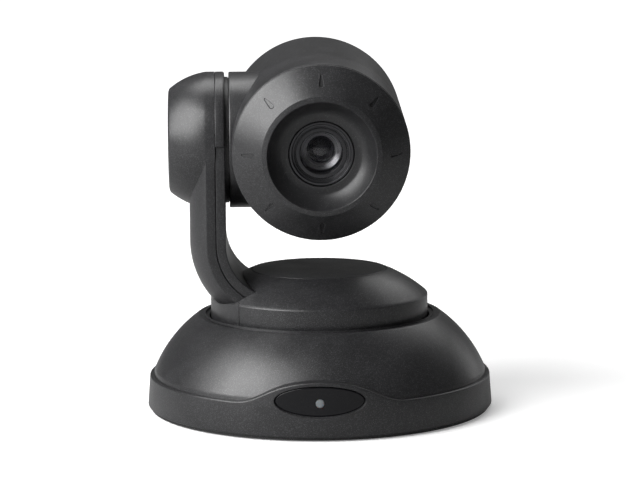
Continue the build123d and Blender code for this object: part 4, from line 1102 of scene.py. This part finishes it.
def build_back(size):
    """Rounded back of the head with its vent slots and screws."""
    rear = size.rear / MM
    outer = [(rear, CAN_REAR), (rear, 42.0), (rear - 0.35, 43.4), (rear - 1.0, 44.8), (rear - 2.0, 46.1),
             (rear - 3.3, 47.3), (rear - 4.8, 48.3), (rear - 6.4, 49.0)]
    inner = [(r - 2.0, h - (0.0 if i == 0 else 2.0)) for i, (r, h) in enumerate(outer)]
    outside, inside = cap(rear - 6.4, 49.0, 5.4), cap(rear - 8.4, 47.0, 5.4)
    shell = turned([*outer[:-1], *outside, *inside[::-1], *inner[:-1][::-1]], 240)
    bar = rounded([(-23.9, -1.0, 0.95), (23.9, -1.0, 0.95), (23.9, 1.0, 0.95), (-23.9, 1.0, 0.95)])
    slot = loft([[(x, y, z) for x, y in bar] for z in (44.0, 60.0)])
    slots = repeated(ROW, slot, "charcoal_plastic", Count=size.slots, Pitch=5.0, Circle=24.0)
    quarter = math.pi / 4
    bore = moved(turned([(0, 30), (2.4, 30), (2.4, 60), (0, 60)], 40), Matrix.Translation((SCREW_RING, 0, 0)))
    bores = repeated(RING, bore, "charcoal_plastic", Count=4, Radius=0.0, First_angle=quarter)
    shell = combined("DIFFERENCE", shell, slots, bores)
    piece("back_cover", shell, ON_LENS, "head", "charcoal_plastic", ["rear_cap"])
    head = turned(rounded([
        (0, CAN_REAR), (1.4, CAN_REAR), (1.4, 47.5), (2.2, 47.5), (2.2, 49.7, 0.6), (0, 49.7),
    ]), 40)
    cross = [block((-1.3, -0.3, 48.7), (1.3, 0.3, 52)), block((-0.3, -1.3, 48.7), (0.3, 1.3, 52))]
    screw = moved(combined("DIFFERENCE", head, *cross), Matrix.Translation((SCREW_RING, 0, 0)))
    screws = repeated(RING, screw, "steel", Count=4, Radius=0.0, First_angle=quarter)
    piece("back_screws", screws, ON_LENS, "head", "steel", ["rear_screws"])


# ---- CAD nodes that stay, and the stage ----

def dress_frame():
    """Gives every CAD node that is still shown its finish."""
    for name, node in frame["nodes"].items():
        if node.hide_render:
            continue
        node.data.materials.clear()
        node.data.materials.append(bpy.data.materials[SLOT_OF[name]])


def look_at(thing, target):
    """Turns a light or a camera towards a point."""
    thing.rotation_euler = (Vector(target) - thing.location).to_track_quat("-Z", "Y").to_euler()


def area_light(name, place, target, power, size):
    """Soft rectangular light."""
    data = bpy.data.lights.new(name, "AREA")
    data.shape = "RECTANGLE"
    data.size, data.size_y = size
    data.energy = power
    lamp = bpy.data.objects.new(name, data)
    bpy.context.scene.collection.objects.link(lamp)
    lamp.location = place
    look_at(lamp, target)


def build_stage(stage):
    """Pale wide floor, soft lights and the camera."""
    reach = 14.0
    points = [(x, y, 0.0) for y in (-reach, reach) for x in (-reach, reach)]
    mesh = bpy.data.meshes.new("floor")
    mesh.from_pydata(points, [], [(0, 1, 3, 2)])
    mesh.materials.append(bpy.data.materials["floor_white"])
    held(mesh, "floor")
    middle = (0.0, 0.0, 0.09)
    area_light("key", (-1.0, -0.62, 0.85), middle, stage.key, (1.3, 1.2))
    area_light("fill", (0.9, 0.9, 0.25), middle, stage.fill, (0.4, 0.5))
    area_light("back", (0.65, 0.9, 0.9), middle, stage.back, (0.7, 0.6))
    area_light("top", (-0.1, 0.4, 1.15), middle, stage.top, (0.8, 0.5))
    world = bpy.data.worlds.new("surround")
    world.use_nodes = True
    tree = world.node_tree
    seen = add(tree, "ShaderNodeLightPath").outputs["Is Camera Ray"]
    shine = tree.nodes["Background"]
    shine.inputs["Color"].default_value = (1.0, 1.0, 1.0, 1.0)
    tree.links.new(ranged(tree, seen, stage.ambient, 1.0), shine.inputs["Strength"])
    scene = bpy.context.scene
    scene.world = world
    scene.view_settings.view_transform = "Standard"
    data = bpy.data.cameras.new("camera")
    data.lens = stage.lens
    data.sensor_width = 36.0
    data.clip_start, data.clip_end = 0.05, 30.0
    camera = bpy.data.objects.new("camera", data)
    scene.collection.objects.link(camera)
    camera.location = (0.0, -1.2, 0.2567)
    lean, roll, yaw = math.radians(90 - 8.442), -0.00728, -0.000464
    turn = Matrix.Rotation(yaw, 3, "Z") @ Matrix.Rotation(lean, 3, "X") @ Matrix.Rotation(roll, 3, "Z")
    camera.rotation_euler = turn.to_euler()
    scene.camera = camera


# ---- operators ----

class PTZ_OT_finishes(bpy.types.Operator):
    """Makes the finishes and the repeating trees"""
    bl_idname = "ptz.finishes"
    bl_label = "Finishes"
    bl_options = {"REGISTER", "UNDO"}

    def execute(self, context):
        make_finishes(context.scene.ptz_finishes)
        ring_tree()
        row_tree()
        return {"FINISHED"}


class PTZ_OT_band(bpy.types.Operator):
    """Builds the band round the base"""
    bl_idname = "ptz.band"
    bl_label = "Band"
    bl_options = {"REGISTER", "UNDO"}

    def execute(self, context):
        build_band(context.scene.ptz_base)
        return {"FINISHED"}


class PTZ_OT_dome(bpy.types.Operator):
    """Builds the cover of the base"""
    bl_idname = "ptz.dome"
    bl_label = "Dome"
    bl_options = {"REGISTER", "UNDO"}

    def execute(self, context):
        build_dome(context.scene.ptz_base)
        return {"FINISHED"}


class PTZ_OT_window(bpy.types.Operator):
    """Builds the window and its light"""
    bl_idname = "ptz.window"
    bl_label = "Window"
    bl_options = {"REGISTER", "UNDO"}

    def execute(self, context):
        build_window(context.scene.ptz_base)
        return {"FINISHED"}


class PTZ_OT_contacts(bpy.types.Operator):
    """Builds the contacts of the sockets"""
    bl_idname = "ptz.contacts"
    bl_label = "Contacts"
    bl_options = {"REGISTER", "UNDO"}

    def execute(self, context):
        build_contacts()
        return {"FINISHED"}


class PTZ_OT_turntable(bpy.types.Operator):
    """Builds the turntable's cover and disc"""
    bl_idname = "ptz.turntable"
    bl_label = "Turntable"
    bl_options = {"REGISTER", "UNDO"}

    def execute(self, context):
        build_turntable(context.scene.ptz_turntable)
        return {"FINISHED"}


class PTZ_OT_arm(bpy.types.Operator):
    """Builds the arm, the hub and the foot"""
    bl_idname = "ptz.arm"
    bl_label = "Arm"
    bl_options = {"REGISTER", "UNDO"}

    def execute(self, context):
        build_arm(context.scene.ptz_turntable)
        return {"FINISHED"}


class PTZ_OT_shells(bpy.types.Operator):
    """Builds the head's two covers"""
    bl_idname = "ptz.shells"
    bl_label = "Head covers"
    bl_options = {"REGISTER", "UNDO"}

    def execute(self, context):
        build_shells(context.scene.ptz_head)
        return {"FINISHED"}


class PTZ_OT_bezel(bpy.types.Operator):
    """Builds the front ring with its marks"""
    bl_idname = "ptz.bezel"
    bl_label = "Bezel"
    bl_options = {"REGISTER", "UNDO"}

    def execute(self, context):
        build_bezel(context.scene.ptz_head)
        return {"FINISHED"}


class PTZ_OT_lens(bpy.types.Operator):
    """Builds the funnel, the barrel, the glasses and the iris"""
    bl_idname = "ptz.lens"
    bl_label = "Lens"
    bl_options = {"REGISTER", "UNDO"}

    def execute(self, context):
        build_lens(context.scene.ptz_head)
        return {"FINISHED"}


class PTZ_OT_back(bpy.types.Operator):
    """Builds the back of the head with its slots and screws"""
    bl_idname = "ptz.back"
    bl_label = "Back"
    bl_options = {"REGISTER", "UNDO"}

    def execute(self, context):
        build_back(context.scene.ptz_head)
        return {"FINISHED"}


class PTZ_OT_frame(bpy.types.Operator):
    """Gives the remaining nodes their finishes"""
    bl_idname = "ptz.frame"
    bl_label = "Frame"
    bl_options = {"REGISTER", "UNDO"}

    def execute(self, context):
        dress_frame()
        return {"FINISHED"}


class PTZ_OT_stage(bpy.types.Operator):
    """Builds the floor, the lights and the camera"""
    bl_idname = "ptz.stage"
    bl_label = "Stage"
    bl_options = {"REGISTER", "UNDO"}

    def execute(self, context):
        build_stage(context.scene.ptz_stage)
        return {"FINISHED"}


STEPS = (
    PTZ_OT_finishes, PTZ_OT_band, PTZ_OT_dome, PTZ_OT_window, PTZ_OT_contacts,
    PTZ_OT_turntable, PTZ_OT_arm, PTZ_OT_shells, PTZ_OT_bezel, PTZ_OT_lens,
    PTZ_OT_back, PTZ_OT_frame, PTZ_OT_stage,
)


class PTZ_PT_panel(bpy.types.Panel):
    """Lists the steps that build the camera."""
    bl_label = "Pan tilt zoom camera"
    bl_idname = "PTZ_PT_panel"
    bl_space_type = "VIEW_3D"
    bl_region_type = "UI"
    bl_category = "Camera"

    def draw(self, context):
        for step in STEPS:
            self.layout.operator(step.bl_idname)


SETTINGS = {"ptz_base": BaseSizes, "ptz_turntable": TurntableSizes, "ptz_head": HeadSizes,
            "ptz_finishes": Finishes, "ptz_stage": StageSettings}


def register():
    """Registers the settings, the steps and the panel."""
    for name, kind in SETTINGS.items():
        bpy.utils.register_class(kind)
        setattr(bpy.types.Scene, name, PointerProperty(type=kind))
    for kind in (*STEPS, PTZ_PT_panel):
        bpy.utils.register_class(kind)


def unregister():
    """Takes everything away again."""
    for kind in (PTZ_PT_panel, *reversed(STEPS)):
        bpy.utils.unregister_class(kind)
    for name, kind in SETTINGS.items():
        delattr(bpy.types.Scene, name)
        bpy.utils.unregister_class(kind)


def main():
    """Builds everything in order."""
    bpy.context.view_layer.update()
    register()
    for step in STEPS:
        getattr(bpy.ops.ptz, step.bl_idname.split(".")[1])()
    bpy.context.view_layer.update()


if __name__ == "__main__":
    main()
